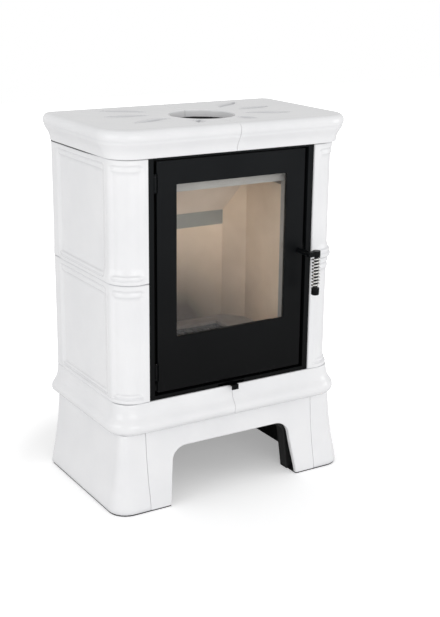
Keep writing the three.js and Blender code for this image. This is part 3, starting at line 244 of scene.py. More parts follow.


def share_between(tree, value, start, end, lowest=0.0):
    """The lowest to 1, as a value goes from start to end."""
    limits = {"Value": value, "From Min": start, "From Max": end, "To Min": lowest}
    return add_node(tree, "ShaderNodeMapRange", limits).outputs["Result"]


def place_along(tree, axis, start, end):
    """0 to 1 along one axis of the frame."""
    split = add_node(tree, "ShaderNodeSeparateXYZ", {"Vector": place_on_stove(tree)})
    return share_between(tree, split.outputs[axis], start, end)


def make_grained(
    name, dark, light, roughness, grain, grain_strength, metallic=0.0, specular=0.5, top_sheen=0.0
):
    """A paint or metal with a grain. With a top sheen, its colour is painted lighter towards the top, a
    painted reflection.
    """
    material, tree, shader = new_finish(name, roughness, metallic)
    shader.inputs["Specular IOR Level"].default_value = specular
    tone = between(tree, noise(tree, 9.0), dark, light, 0.3, 0.7)
    # painted reflection: the paint turns lighter towards the top
    if top_sheen:
        sheen_low = (1.0 - top_sheen,) * 3
        sheen_share = place_along(tree, "Z", *SHEEN_HEIGHT)
        tone = multiply(tree, tone, between(tree, sheen_share, sheen_low, NO_TINT))
    coat(tree, shader, tone, noise(tree, grain, detail=2.0), grain_strength, GRAIN_DEPTH)
    return material


door_paint = make_grained(
    "satin_black_paint", (0.006, 0.007, 0.008), (0.0084, 0.0094, 0.0106),
    roughness=0.34, grain=900.0, grain_strength=0.05, specular=0.1, top_sheen=0.75,
)
sheet_paint = make_grained(
    "matt_black_sheet", (0.01, 0.01, 0.01), (0.018, 0.018, 0.018),
    roughness=0.68, grain=500.0, grain_strength=0.2,
)
grate_iron = make_grained(
    "cast_iron_grate", (0.012, 0.011, 0.011), (0.026, 0.024, 0.023),
    roughness=0.75, grain=260.0, grain_strength=0.6, metallic=0.4,
)
dull_steel = make_grained(
    "heat_dulled_steel", (0.21, 0.22, 0.20), (0.30, 0.305, 0.28),
    roughness=0.5, grain=700.0, grain_strength=0.1, metallic=0.4,
)


def make_mouth_steel(half_width=0.178, half_height=0.235, middle=0.545, edge=0.003):
    """Bare bright sheet round the fire's mouth, and black paint on the rest of the same sheet."""
    material, tree, shader = new_finish("sheet_bare_at_the_mouth", roughness=0.45)
    centred = mapped_place(tree, Location=(0.0, 0.0, -middle))
    reach = add_node(tree, "ShaderNodeVectorMath", {0: centred}, operation="ABSOLUTE")
    split = add_node(tree, "ShaderNodeSeparateXYZ", {"Vector": reach.outputs["Vector"]})
    tone = between(tree, noise(tree, 9.0), (0.34, 0.335, 0.32), (0.42, 0.415, 0.395), 0.3, 0.7)
    for axis, half in (("X", half_width), ("Z", half_height)):
        outside = share_between(tree, split.outputs[axis], half - edge, half)
        tone = multiply(tree, tone, between(tree, outside, NO_TINT, (0.03, 0.03, 0.03)))
    coat(tree, shader, tone, noise(tree, 700.0, detail=2.0), strength=0.1, distance=GRAIN_DEPTH)
    return material


def make_nickel():
    material, tree, shader = new_finish("nickel_plate", roughness=0.2, metallic=1.0)
    tone = between(tree, noise(tree, 60.0), (0.60, 0.60, 0.59), (0.80, 0.79, 0.77), 0.3, 0.7)
    coat(tree, shader, tone, noise(tree, 400.0, stretch=(1, 1, 6)), strength=0.08, distance=0.0004)
    return material


mouth_steel = make_mouth_steel()
nickel = make_nickel()
print("paints and metals made")

# %% [markdown]
# ## Firebrick
# The fire is lined with pressed vermiculite, a pale brown board full of flat golden flecks, and it is
# grey with ash on the floor. Noise gives the board's mottling, a pattern of cells gives the flecks,
# and painted shade is worked out from the place on the lining: it darkens the lower it is, the
# further back, and the further to the left.

# %% Firebrick
SHADE_HEIGHT = (0.36, 0.65)  # above the floor, between which the painted shade fades
SHADE_SIDE = (0.26, 0.02)  # from the middle: no painted shade at the right, more towards the left
SHADE_DEPTH = (-0.02, 0.09)  # from the stove's middle, towards the back
CLOUDS = 0.1


def make_firebrick(name, dark, light, shade_colour):
    material, tree, shader = new_finish(name, roughness=0.92)
    board = between(tree, noise(tree, 18.0, detail=5.0), dark, light, 0.25, 0.75)
    cells = add_node(tree, "ShaderNodeTexVoronoi", {"Vector": place_on_stove(tree), "Scale": 520.0})
    flecks = between(tree, cells.outputs["Distance"], (0.80, 0.78, 0.74), NO_TINT, 0.05, 0.35)
    # painted shade: darker the lower, the further back and the further to the left on the lining
    smoke_and_shade = calculate(tree, "SUBTRACT", 1.0, place_along(tree, "Z", *SHADE_HEIGHT))
    smoke_and_shade = calculate(tree, "MULTIPLY", smoke_and_shade, place_along(tree, "Y", *SHADE_DEPTH))
    smoke_and_shade = calculate(tree, "MULTIPLY", smoke_and_shade, place_along(tree, "X", *SHADE_SIDE))
    smoke_and_shade = calculate(tree, "MULTIPLY_ADD", noise(tree, 8.0), CLOUDS, smoke_and_shade)
    brick_shade = between(tree, smoke_and_shade, NO_TINT, shade_colour, 0.05, 0.95)
    tone = multiply(tree, multiply(tree, board, flecks, 0.5), brick_shade)
    coat(tree, shader, tone, noise(tree, 700.0), strength=0.15, distance=GRAIN_DEPTH)
    return material


firebrick = make_firebrick("vermiculite_board", (0.85, 0.68, 0.50), (0.95, 0.78, 0.60), (0.085, 0.072, 0.06))
sooted_brick = make_firebrick("sooted_board", (0.64, 0.535, 0.43), (0.73, 0.625, 0.52), (0.2, 0.18, 0.16))
hearth_brick = make_firebrick("ashy_hearth_board", (0.30, 0.27, 0.24), (0.44, 0.40, 0.36), (0.55, 0.5, 0.48))
print("firebricks made")

# %% [markdown]
# ## Ceramic rope and door glass
# The door seals on a dark braided rope, and the glass sits in a flat woven tape. Both are a matt
# weave, drawn by two crossed wave patterns. The glass is clear ceramic with a breath of smoke on it.
# A ray tracer would leave the firebox black behind real refracting glass, since it can't aim lamps
# through it, so the glass lets shadow rays pass straight.


# %% Rope and glass
def make_rope(strand_turn=0.7):
    material, tree, shader = new_finish("braided_ceramic_rope", roughness=0.95)
    tone = between(tree, noise(tree, 80.0), (0.020, 0.020, 0.021), (0.055, 0.054, 0.052))
    heights = []
    for turn in (strand_turn, -strand_turn):
        strand = mapped_place(tree, Rotation=(0.0, turn, 0.0))
        inputs = {"Vector": strand, "Scale": 110.0, "Distortion": 0.6}
        heights.append(add_node(tree, "ShaderNodeTexWave", inputs).outputs["Fac"])
    crossed = calculate(tree, "MAXIMUM", *heights)
    coat(tree, shader, tone, crossed, strength=0.9, distance=0.0015)
    return material


def make_glass():
    material, tree, shader = new_finish("smoked_door_glass", roughness=0.04)
    shader.inputs["Transmission Weight"].default_value = 1.0
    shader.inputs["IOR"].default_value = 1.45
    smoke_and_shade = between(tree, noise(tree, 5.0), (0.96, 0.95, 0.94), (1.0, 1.0, 0.995), 0.3, 0.7)
    tree.links.new(smoke_and_shade, shader.inputs["Base Color"])
    clear = add_node(tree, "ShaderNodeBsdfTransparent", {"Color": (0.97, 0.965, 0.955, 1.0)})
    ray = add_node(tree, "ShaderNodeLightPath").outputs["Is Shadow Ray"]
    inputs = {"Fac": ray, 1: shader.outputs["BSDF"], 2: clear.outputs["BSDF"]}
    both = add_node(tree, "ShaderNodeMixShader", inputs)
    tree.links.new(both.outputs["Shader"], tree.nodes["Material Output"].inputs["Surface"])
    return material


rope_weave = make_rope()
door_glass = make_glass()
print("rope and glass made")

# %% [markdown]
# ## Softening the solids
# Sheet metal and cast pieces never have knife edges. The solids do, so each one that stays gets a
# thin bevel that catches the light, and a small node group that smooths shallow angles and keeps
# real corners crisp. Smoothing alone would make flat sheets look swollen, and a pane would bend what
# is behind it like a lens, so normals are then weighted by the size of the faces. All of these are
# modifiers, so the solids' own meshes stay as they were.


# %% Modifiers for the solids
WELD_REACH = 1e-5
BEVEL_ANGLE = 0.7  # radians; shallower edges get no bevel


def make_softener(limit=0.62):
    """Smooth shading, except where faces meet at more than the limit, in radians."""
    group = bpy.data.node_groups.new("smooth_shallow_angles", "GeometryNodeTree")
    group.interface.new_socket("Geometry", in_out="INPUT", socket_type="NodeSocketGeometry")
    group.interface.new_socket("Geometry", in_out="OUTPUT", socket_type="NodeSocketGeometry")
    solid = add_node(group, "NodeGroupInput").outputs["Geometry"]
    angle = add_node(group, "GeometryNodeInputMeshEdgeAngle").outputs["Unsigned Angle"]
    inputs = {"A": angle, "B": limit}
    corner = add_node(group, "FunctionNodeCompare", inputs, data_type="FLOAT", operation="GREATER_THAN")
    inputs = {"Geometry": solid}
    smooth = add_node(group, "GeometryNodeSetShadeSmooth", inputs, domain="FACE").outputs["Geometry"]
    inputs = {"Geometry": smooth, "Selection": corner.outputs["Result"], "Shade Smooth": False}
    crisp = add_node(group, "GeometryNodeSetShadeSmooth", inputs, domain="EDGE").outputs["Geometry"]
    add_node(group, "NodeGroupOutput", {"Geometry": crisp})
    return group


softener = make_softener()


def soften(solid, edge):
    weld = solid.modifiers.new("weld", "WELD")
    weld.merge_threshold = WELD_REACH
    if edge:
        bevel = solid.modifiers.new("edge", "BEVEL")
        bevel.width = edge / 1000.0
        bevel.segments = 2
        bevel.limit_method = "ANGLE"
        bevel.angle_limit = BEVEL_ANGLE
    smooth = solid.modifiers.new("smooth", "NODES")
    smooth.node_group = softener
    level = solid.modifiers.new("level_faces", "WEIGHTED_NORMAL")
    level.keep_sharp = True


def dress(names, finish, edge):
    for name in names:
        solid = parts[name]
        for slot in solid.material_slots:
            slot.material = finish
        soften(solid, edge)
    print(finish.name, "on", len(names), "solids")


# %% [markdown]
# ## Which solid gets which finish
# A real stove is put together from a few materials. Listing the solids by what they are made of
# keeps that in one place, and the edge radius, in millimetres, says how each material is worked:
# sheared sheet is sharp, board crumbles to a rounder edge, and cast iron is rounder still.

# %% Dress the solids
dress(
    [
        "surround", "door_leaf", "door_frame", "hinge_lug_top", "hinge_lug_bottom", "air_slider",
        "latch_spindle",
    ],
    door_paint,
    edge=0.5,
)
dress(["handle_rod"], sheet_paint, edge=0.4)
dress(
    [
        "base_frame", "base_top", "arch_lining", "body_floor", "body_top", "body_side_left",
        "body_side_right", "body_back", "slider_guide", "flue_collar", "outlet_cover", "hearth_plate",
        "ash_pan", "glass_clip_top", "glass_clip_bottom", "tile_rail_left", "tile_rail_right",
        "rear_shield", "shield_stay_left", "shield_stay_right",
    ],
    sheet_paint,
    edge=0.3,
)
dress(["rear_duct"], dull_steel, edge=0.4)
dress(["front_sheet"], mouth_steel, edge=0.4)
dress(["grate"], grate_iron, edge=1.4)
dress(
    ["lining_side_left", "lining_side_right", "lining_bevel_left", "lining_bevel_right", "lining_rear"],
    firebrick,
    edge=1.2,
)
dress(["baffle_slope", "baffle_plate"], sooted_brick, edge=0.5)
dress(["lining_floor"], hearth_brick, edge=1.2)
dress(["hinge_pin_top", "hinge_pin_bottom", "latch_tongue", "latch_keeper"], nickel, edge=0.3)
dress(["glass_gasket"], rope_weave, edge=0.8)
dress(["door_glass"], door_glass, edge=0)

# %% [markdown]
# ## Skins from stations and loops
# Each ceramic is a moulded wall bent round the stove. One way to make such a form is to cut blocks
# with booleans, which leaves untidy faces that shine badly under glaze. Instead, a loop of points
# is drawn at many stations along the wall, and neighbouring loops are joined by quads. That gives
# even, flowing faces, and each point can be pushed in or out for relief.


# %% Skin makers
CREASE = math.radians(38)


def face_outward(mesh):
    """Turn the faces of a closed mesh to look outward, whichever way its loops were drawn."""
    shape = bmesh.new()
    shape.from_mesh(mesh)
    if shape.calc_volume(signed=True) < 0:
        bmesh.ops.reverse_faces(shape, faces=shape.faces)
        shape.to_mesh(mesh)
    shape.free()


def skin(name, loops, painted_shade=None, ends=True, mirror=False):
    """A closed mesh from loops[station, point] of x, y and z in millimetres."""
    loops = np.array(loops, float)
    stations, count = loops.shape[:2]
    if mirror:
        loops[..., 0] *= -1
    ring = np.arange(count)
    base = np.arange(stations - 1)[:, None] * count
    here, beside = base + ring, base + np.roll(ring, -1)
    faces = np.stack([here, beside, beside + count, here + count], axis=-1).reshape(-1, 4).tolist()
    if ends:
        faces += [ring[::-1].tolist(), (ring + (stations - 1) * count).tolist()]
    mesh = bpy.data.meshes.new(name)
    mesh.from_pydata(to_frame(loops.reshape(-1, 3)).tolist(), [], faces)
    mesh.validate()
    face_outward(mesh)
    # the painted shade per point, kept as an attribute for the glaze
    if painted_shade is not None:
        values = np.clip(painted_shade.reshape(-1), 0, 1).astype(np.float32)
        attribute = mesh.attributes.new("painted_shade", "FLOAT", "POINT")
        attribute.data.foreach_set("value", values)
    mesh.shade_smooth()
    mesh.set_sharp_from_angle(angle=CREASE)
    return mesh


def stand_for(name, mesh, finish, body, replaced=()):
    piece = bpy.data.objects.new(name, mesh)
    bpy.context.scene.collection.objects.link(piece)
    mesh.materials.append(finish)
    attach(piece, body)
    if replaced:
        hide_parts(*replaced)


def points(x, y, z):
    return np.stack(np.broadcast_arrays(x, y, z), axis=-1)


def ceramic(node, face, back, painted_shade=None, mirror=False):
    """A glazed skin that stands for one ceramic, from loops of its face and of its back."""
    # the face carries painted shade; the back gets none
    if painted_shade is not None:
        painted_shade = np.pad(painted_shade, ((0, 0), (0, back.shape[1])))
    mesh = skin(node, np.concatenate([face, back], axis=1), painted_shade, mirror=mirror)
    stand_for(f"{node}_skin", mesh, glaze, "stove", (node,))


def curve_through(knots, per_span):
    """A smooth curve that passes through every knot."""
    knots = np.array(knots, float)
    padded = np.vstack([2 * knots[0] - knots[1], knots, 2 * knots[-1] - knots[-2]])
    drawn = []
    for i in range(len(knots) - 1):
        p0, p1, p2, p3 = padded[i : i + 4]
        for t in np.linspace(0, 1, per_span, endpoint=False):
            line = (p2 - p0) * t
            square = (2 * p0 - 5 * p1 + 4 * p2 - p3) * t**2
            cube = (3 * p1 - p0 - 3 * p2 + p3) * t**3
            drawn.append(0.5 * (2 * p1 + line + square + cube))
    drawn.append(knots[-1])
    return np.array(drawn)


def step(distance, width):
    """0 at or under zero, 1 from the width on, and smooth between."""
    share = np.clip(distance / width, 0.0, 1.0)
    return share * share * (3 - 2 * share)


def ridge(distance, width):
    """1 where the distance is zero, fading out smoothly on both sides."""
    return np.exp(-((distance / width) ** 2))


def tucked(distance, radius):
    """How far a rounded edge falls back at a distance from the edge."""
    inside = np.clip(radius - distance, 0, radius)
    return radius - np.sqrt(np.maximum(radius**2 - inside**2, 0))


def near_ends(length, spacing, fine=(0, 0.25, 0.7, 1.3, 2.2, 3.5)):
    """Stations along a length, crowded at both ends, where the glaze rounds over."""
    middle = np.linspace(fine[-1], length - fine[-1], max(2, int(length / spacing)))
    return np.unique(np.concatenate([fine, middle, length - np.array(fine)]).round(4))


def angles_round(sides):
    return np.linspace(0, 2 * math.pi, sides, endpoint=False)


print("skin makers are ready")

# %% [markdown]
# ## The plan of the stove
# Seen from above, every ceramic follows the same path: along the front, round a generous corner and
# back along the side. The walk along that path is measured for the bare wall, and a moulding simply
# stands further out from it. Walking is done once, in one function, and each ceramic gives its own
# corner radius.


# %% Walking round the plan
def walk(run, out, corner, start, back_corner=0.0):
    """x and y of the point a run along the right half of the plan, standing out from it."""
    run, out = np.broadcast_arrays(np.asarray(run, float), np.asarray(out, float))
    front_end = HALF_WIDTH - corner - start
    arc = math.pi / 2 * corner
    side = DEPTH - corner - back_corner
    angle = np.clip((run - front_end) / corner, 0, math.pi / 2)
    radius = corner + out
    x = np.minimum(start + run, HALF_WIDTH - corner) + radius * np.sin(angle)
    y = corner - radius * np.cos(angle)
    y = y + np.clip(run - front_end - arc, 0, side)
    if back_corner:
        past_side = run - front_end - arc - side
        turn = np.clip(past_side / back_corner, 0, math.pi / 2)
        x = x - back_corner * (1 - np.cos(turn))
        y = y + back_corner * np.sin(turn)
        past_turn = np.maximum(past_side - math.pi / 2 * back_corner, 0)
        x = x - past_turn * (x - start) / (HALF_WIDTH - back_corner - start)
    return x, y


print("corner tile's middle:", [float(v.round(1)) for v in walk(60, 0, 55, 220)])

# %% [markdown]
# ## Corner tiles
# Each tile wraps a corner: a narrow flat by the door, the round corner, and the long side. Two sunk
# panels are pressed into it, one on the corner and one on the side, with a rounded bead between
# them. Along the top and the bottom of a panel the moulding is a double step that turns the corner
# and dies away down the sides, where only a soft shoulder is left. A boolean cut would give hard
# pockets, so the relief is worked out as a depth at every point of a fine grid.

# %% How deep a panel is sunk
PANEL_FOOT, PANEL_HEAD = 8.0, 11.0  # plain bands under and over a panel
PANEL_CORNER = 16.0
FOOT_PACE, HEAD_PACE = 1.15, 0.82  # the steps are narrower at the foot and wider at the head
FIELD_DEPTH = 3.8
OUTER_WIDTH, OUTER_DEPTH = 3.0, 2.3
BEAD_START, BEAD_HEIGHT = 4.6, 1.4
INNER_START, INNER_WIDTH, INNER_DEPTH = 12.0, 4.4, 2.9
SHOULDER_WIDTH = 17.0
FADE = 14.0  # over which the steps die away round a panel's corner
OUTER_LINE, INNER_LINE = (3.4, 1.8), (15.2, 2.4)  # where painted shade lines the steps, and how wide
LINE_SHADE = 0.14


def panel_relief(run, up, panel):
    """How deep a panel is sunk at each point, and how much shade is painted there."""
    start, end = panel
    aside = np.minimum(run - start, end - run)
    along = np.minimum(FOOT_PACE * (up - PANEL_FOOT), HEAD_PACE * (TILE_HEIGHT - PANEL_HEAD - up))
    short_x = np.maximum(PANEL_CORNER - aside, 0)
    short_z = np.maximum(PANEL_CORNER - along, 0)
    in_corner = PANEL_CORNER - np.hypot(short_x, short_z)
    inside = np.where((short_x > 0) & (short_z > 0), in_corner, np.minimum(aside, along))
    at_end = step(0.5 + (aside - along) / FADE, 1.0)
    outer_step = step(inside, OUTER_WIDTH) * OUTER_DEPTH
    bead = step(inside - BEAD_START, BEAD_START) * BEAD_HEIGHT
    inner_step = step(inside - INNER_START, INNER_WIDTH) * INNER_DEPTH
    shoulder = step(inside, SHOULDER_WIDTH) * FIELD_DEPTH
    depth = at_end * (outer_step - bead + inner_step) + (1 - at_end) * shoulder
    lines = sum(ridge(inside - place, width) for place, width in (OUTER_LINE, INNER_LINE))
    return depth, LINE_SHADE * at_end * lines


# %% [markdown]
# The grid is crowded where the relief changes fast, and it is wide in the flat fields. A small foot
# flares out at the corner. It dies away beside the door and at the back, where the tile has to meet
# straight edges.

# %% Corner tiles
TILE_CORNER, TILE_START, TILE_WALL = 55.0, 220.0, 9.0
FRONT_FLAT = 21.0
CORNER_END = FRONT_FLAT + math.pi / 2 * TILE_CORNER
TILE_RUN = CORNER_END + DEPTH - TILE_CORNER
PANELS = [(8.0, CORNER_END - 7.0), (CORNER_END + 7.0, TILE_RUN - 29.0)]
REST_GAP, SAG = 0.8, 2.6  # how far a tile's top stays down in front, and how much more at the back
SAG_START, SAG_RUN = 5.0, 110.0  # past the corner
SINK_REACH = 30.0  # how far down from the top a sunk tile gives way
TOP_ROUND, SIDE_ROUND = 1.9, 2.6  # radii of the glazed edges
EDGE_SHADE, EDGE_LINE = 0.45, 1.5  # painted shade along the top and the bottom edge, where tiles meet


def sink_of(run):
    return REST_GAP + SAG * step(run - CORNER_END - SAG_START, SAG_RUN)


def corner_tile(name, base, foot_moulding, head_moulding, sinks, mirror):
    runs = near_ends(TILE_RUN, 2.4)
    ends = np.concatenate([np.linspace(0, 3, 6), np.linspace(3.6, 27, 32)])
    field = np.linspace(28, TILE_HEIGHT - 28, 50)
    ups = np.unique(np.concatenate([ends, field, TILE_HEIGHT - ends]).round(3))
    head_points = [(TILE_HEIGHT - down, out) for down, out in head_moulding]
    moulding = curve_through(foot_moulding + head_points, 4)
    run, up = np.meshgrid(runs, ups, indexing="ij")
    from_door = step(run - 4.0, 24.0)
    to_back = step(run - TILE_RUN + 64.0, 40.0)
    out = np.interp(up, moulding[:, 0], moulding[:, 1]) * (from_door * (1 - 0.8 * to_back))
    # painted shade in the panels' steps and along the tile's top and bottom edges
    painted_shade = np.zeros_like(run)
    for panel in PANELS:
        depth, groove_shade = panel_relief(run, up, panel)
        out -= depth
        painted_shade = np.maximum(painted_shade, groove_shade)
    out -= tucked(up, TOP_ROUND) + tucked(TILE_HEIGHT - up, TOP_ROUND)
    out -= tucked(run, SIDE_ROUND) + tucked(TILE_RUN - run, SIDE_ROUND)
    painted_shade = np.maximum(painted_shade, EDGE_SHADE * ridge(np.minimum(up, TILE_HEIGHT - up), EDGE_LINE))
    x, y = walk(run, out, TILE_CORNER, TILE_START)
    sunk = sink_of(run) * sinks
    sinking = step(up - TILE_HEIGHT + SINK_REACH, SINK_REACH)
    face = points(x, y, base + up - sunk * sinking)
    run_in, up_in = np.meshgrid(runs, np.array([TILE_HEIGHT, 0.0]), indexing="ij")
    x, y = walk(run_in, -TILE_WALL, TILE_CORNER, TILE_START)
    ceramic(name, face, points(x, y, base + up_in - sunk[:, :1] * (up_in > 0)), painted_shade, mirror)


UPPER_FOOT = [(0, 3.4), (2.5, 4.8), (9, 5.0), (14, 4.6), (22, 2.8), (30, 1.0), (38, 0)]
UPPER_HEAD = [(16, 0), (10, 1.6), (4, 3.0), (0, 3.0)]
LOWER_FOOT = [(0, 1.6), (2, 2.7), (9, 2.7), (18, 0)]
LOWER_HEAD = [(10, 0), (4, 1.0), (0, 1.3)]
HALVES = (("right", False), ("left", True))  # the left half is the right one, mirrored
for side, mirror in HALVES:
    corner_tile(f"tile_upper_{side}", UPPER_TILE_BASE, UPPER_FOOT, UPPER_HEAD, True, mirror)
    corner_tile(f"tile_lower_{side}", LOWER_TILE_BASE, LOWER_FOOT, LOWER_HEAD, False, mirror)
print("corner tiles made, each", round(TILE_RUN), "mm round")

# %% [markdown]
# ## A dark strip for the shade under the cornice
# The cornice rests on the tiles, and a thin black strip in the joint stands for the shade there. It
# shows as a dark line and grows thicker towards the back, where the tiles have sunk a little. It could
# be painted as a dark band, but a strip set back in the joint also keeps its shadow from other sides.


# %% Dark strips for the shade in the joint
# a black strip that stands for the shade in the joint under the cornice
def shade_strip(name, mirror, setback=0.3, width=5.0, play=0.02):
    runs = near_ends(TILE_RUN, 5.0)
    bottom = UPPER_TILE_BASE + TILE_HEIGHT - sink_of(runs) + play
    top = CORNICE_BASE - play
    outer = walk(runs, -setback, TILE_CORNER, TILE_START)
    inner = walk(runs, -setback - width, TILE_CORNER, TILE_START)
    section = [(*outer, bottom), (*outer, top), (*inner, top), (*inner, bottom)]
    loops = np.stack([points(*corner) for corner in section], axis=1)
    stand_for(name, skin(name, loops, mirror=mirror), sheet_paint, "stove")


for side, mirror in HALVES:
    shade_strip(f"shade_strip_{side}", mirror)
# the strips are black strips that stand for the shade in the joint
print("sealing strips laid")

# %% [markdown]
# ## Ledge and plinth
# Under the tiles runs a ledge, a fat rounded moulding in two halves that meet under the door. It
# sits on a plinth that flares towards the floor. Their sections are smooth curves through a few
# measured points, which is how a mould maker's template is drawn too.


# %% Ledge and plinth corners
SEAM_ROUND, RIM_ROUND = 1.5, 1.2
FOOT_SHADE = 0.3


def moulded_wall(name, profile, base, inner_outs, corner, start, mirror):
    """A wall with a moulded face, swept from a front seam round to the back.

    Its inside stands out by inner_outs, at the top and at the bottom.
    """
    ups, outs = curve_through(profile, 5).T
    length = HALF_WIDTH - corner - start + math.pi / 2 * corner + DEPTH - corner
    runs = near_ends(length, 6.0)
    run, up = np.meshgrid(runs, ups, indexing="ij")
    out = outs - tucked(run, SEAM_ROUND) - tucked(length - run, SEAM_ROUND)
    out = out - tucked(up, RIM_ROUND) - tucked(ups[-1] - up, RIM_ROUND)
    face = points(*walk(run, out, corner, start), up + base)
    run_in, up_in = np.meshgrid(runs, ups[[-1, 0]], indexing="ij")
    back = points(*walk(run_in, inner_outs, corner, start), up_in + base)
    # painted shade along the foot of each moulding, under the ledge and at the floor
    ceramic(name, face, back, FOOT_SHADE * ridge(up, 6.0), mirror)


# how far up from the foot, and how far out from the tiles' face
LEDGE = [
    (0, 2), (1.5, 8), (6, 13.5), (12, 16.8), (19, 17.6), (26, 16), (33, 11.5), (39, 7), (48, 3),
    (60, 0.8), (LEDGE_HEIGHT, 0),
]
PLINTH = [(0, 24), (8, 23.3), (30, 19.5), (60, 13), (95, 7), (135, 2), (PLINTH_HEIGHT, -2)]
PLINTH_SEAM = 232.0
for side, mirror in HALVES:
    moulded_wall(f"ledge_{side}", LEDGE, LEDGE_BASE, (-17.0, -17.0), 42.0, JOINT / 2, mirror)
    moulded_wall(f"plinth_{side}", PLINTH, PLINTH_BASE, (-13.0, 13.0), 21.0, PLINTH_SEAM + JOINT / 2, mirror)
print("ledge and plinth corners made")

# %% [markdown]
# ## The arch
# The plinth's front is one ceramic with an arch cut out, and the glaze rounds over every edge of it.
# Its face is drawn as columns that stand on the arch's own outline, so no boolean is needed: each
# column of points runs from the arch, or the floor, up to the plinth's top.

# %% Plinth front
ARCH_FLOOR_HALF, ARCH_SPRING_HALF = 178.0, 164.0  # half widths at the floor and where it springs
ARCH_SPRING, ARCH_TOP = 100.0, 134.0
ARCH_ROUND = 38.0
ARCH_FLAT_HALF = ARCH_SPRING_HALF - ARCH_ROUND
PLINTH_WALL = 11.0
SEAM_SHARE = 0.86  # columns that start below this share of the arch's height end on the seams


def arch_edge(steps_round=18):
    """The arch from the right foot over to the left foot, as x and z, with even steps."""
    lean = ARCH_FLOOR_HALF - ARCH_SPRING_HALF
    right_half = [(ARCH_FLOOR_HALF - lean * t, ARCH_SPRING * t) for t in np.linspace(0, 1, 14)]
    for i in range(1, steps_round + 1):
        angle = math.pi / 2 * i / steps_round
        x = ARCH_SPRING_HALF - ARCH_ROUND * (1 - math.cos(angle))
        z = ARCH_SPRING + (ARCH_TOP - ARCH_SPRING) * math.sin(angle)
        right_half.append((x, z))
    middle = [(x, ARCH_TOP) for x in np.linspace(ARCH_FLAT_HALF, -ARCH_FLAT_HALF, 22)[1:-1]]
    return np.array(right_half + middle + [(-x, z) for x, z in reversed(right_half)])


def outer_edge(arch):
    """For each point of the arch, where its column ends: on the seams or on the top."""
    half = PLINTH_SEAM - JOINT / 2
    ends = []
    for x, z in arch:
        if abs(x) <= ARCH_FLAT_HALF + 1e-6:
            ends.append((x, PLINTH_HEIGHT))
            continue
        share = min(1.0, z / ARCH_TOP)
        reach = half
        if share >= SEAM_SHARE:
            reach += (abs(x) - half) * step(share, 1.0) * (share - SEAM_SHARE) / (1 - SEAM_SHARE)
        ends.append((math.copysign(reach, x), PLINTH_HEIGHT * min(1.0, share / SEAM_SHARE)))
    return np.array(ends)


def plinth_front():
    arch = arch_edge()
    rim = outer_edge(arch)
    ups, outs = curve_through(PLINTH, 8).T
    shares = np.concatenate([[0, 0.012, 0.03, 0.055], np.linspace(0.09, 0.94, 12), [0.97, 0.99, 1.0]])
    flat = arch[:, None, :] + (rim - arch)[:, None, :] * shares[None, :, None]
    x, up = flat[..., 0], flat[..., 1]
    gap_arch = np.linalg.norm(flat - arch[:, None, :], axis=-1)
    gap_rim = np.linalg.norm(flat - rim[:, None, :], axis=-1)
    gap_floor = np.maximum(up, 0)
    fall = tucked(gap_arch, SIDE_ROUND) + tucked(gap_rim, SEAM_ROUND) + tucked(gap_floor, RIM_ROUND)
    out = np.interp(up, ups, outs)
    face = points(x, fall - out, up + PLINTH_BASE)
    back = points(x, PLINTH_WALL - out, up + PLINTH_BASE)[:, [-1, 0]]
    ceramic("plinth_front", face, back)


plinth_front()
print("plinth front made")

# %% [markdown]
# ## The cornice and the fluted top
# The top is two half slabs with a seam at the front and the back, a hole for the flue, and eight
# leaf-shaped flutes that spread from it. Their edge is a bullnose over a hollow moulding. Cutting
# the flutes with booleans would leave hard pockets, so the top is a fine fan of points from the hole
# to the edge, sunk by a smooth function of place.

# %% Cornice halves
# each flute's direction in degrees, and how far from the flue's middle it starts and ends
FLUTES = [(14, 128, 226), (40, 132, 246), (-16, 104, 216), (-57, 92, 140)]
FLUTE_HALF, FLUTE_DEPTH, FLUTE_SWAY = 12.5, 4.2, 3.0
TOP_LIP = 0.5
CORNICE = [
    (0, 5.5), (2, 7.5), (10, 8.5), (19, 11.5), (28, 17), (34, 20.6), (39.5, 21.8), (43, 23.3),
    (47.5, 24.4), (53, 24), (58.5, 21.5), (62.5, 17), (64.5, 10),
]
CORNICE_REACH = 24.35
CORNICE_CORNER, CORNICE_BACK_CORNER, CORNICE_SEAM = 52.0, 18.0, 1.6
CORNICE_GROOVE = 38.5  # up from its foot
CORNICE_WALL = 12.0
HOLE, RIM = 77.5, 4.0
BOWL_SHADE, NEAR_SHADE, GROOVE_SHADE = 0.75, 0.3, 0.08


def flute_fall(x, y):
    """How far the top is sunk, with a small lip along each flute, and how near a flute is."""
    fall, lip, shade = (np.zeros_like(x) for _ in range(3))
    for degrees, start, end in FLUTES:
        angle = math.radians(degrees)
        along = x * math.cos(angle) + (y - FLUE_CENTRE) * math.sin(angle)
        across = -x * math.sin(angle) + (y - FLUE_CENTRE) * math.cos(angle)
        share = np.clip((along - start) / (end - start), 0, 1)
        bend = across - FLUTE_SWAY * np.sin(2 * math.pi * share)
        half = FLUTE_HALF * np.sin(math.pi * share) ** 0.8 + 1e-3
        inside = (along > start) & (along < end)
        bowl = np.clip(1 - (bend / (1.1 * half)) ** 2, 0, 1) ** 1.3
        fall = np.maximum(fall, inside * FLUTE_DEPTH * bowl)
        lip = np.maximum(lip, inside * ridge(np.abs(bend) - 1.1 * half, 0.35 * half))
        shade = np.maximum(shade, inside * ridge(bend, 1.5 * half))
    return fall + TOP_LIP * (1 - lip), shade


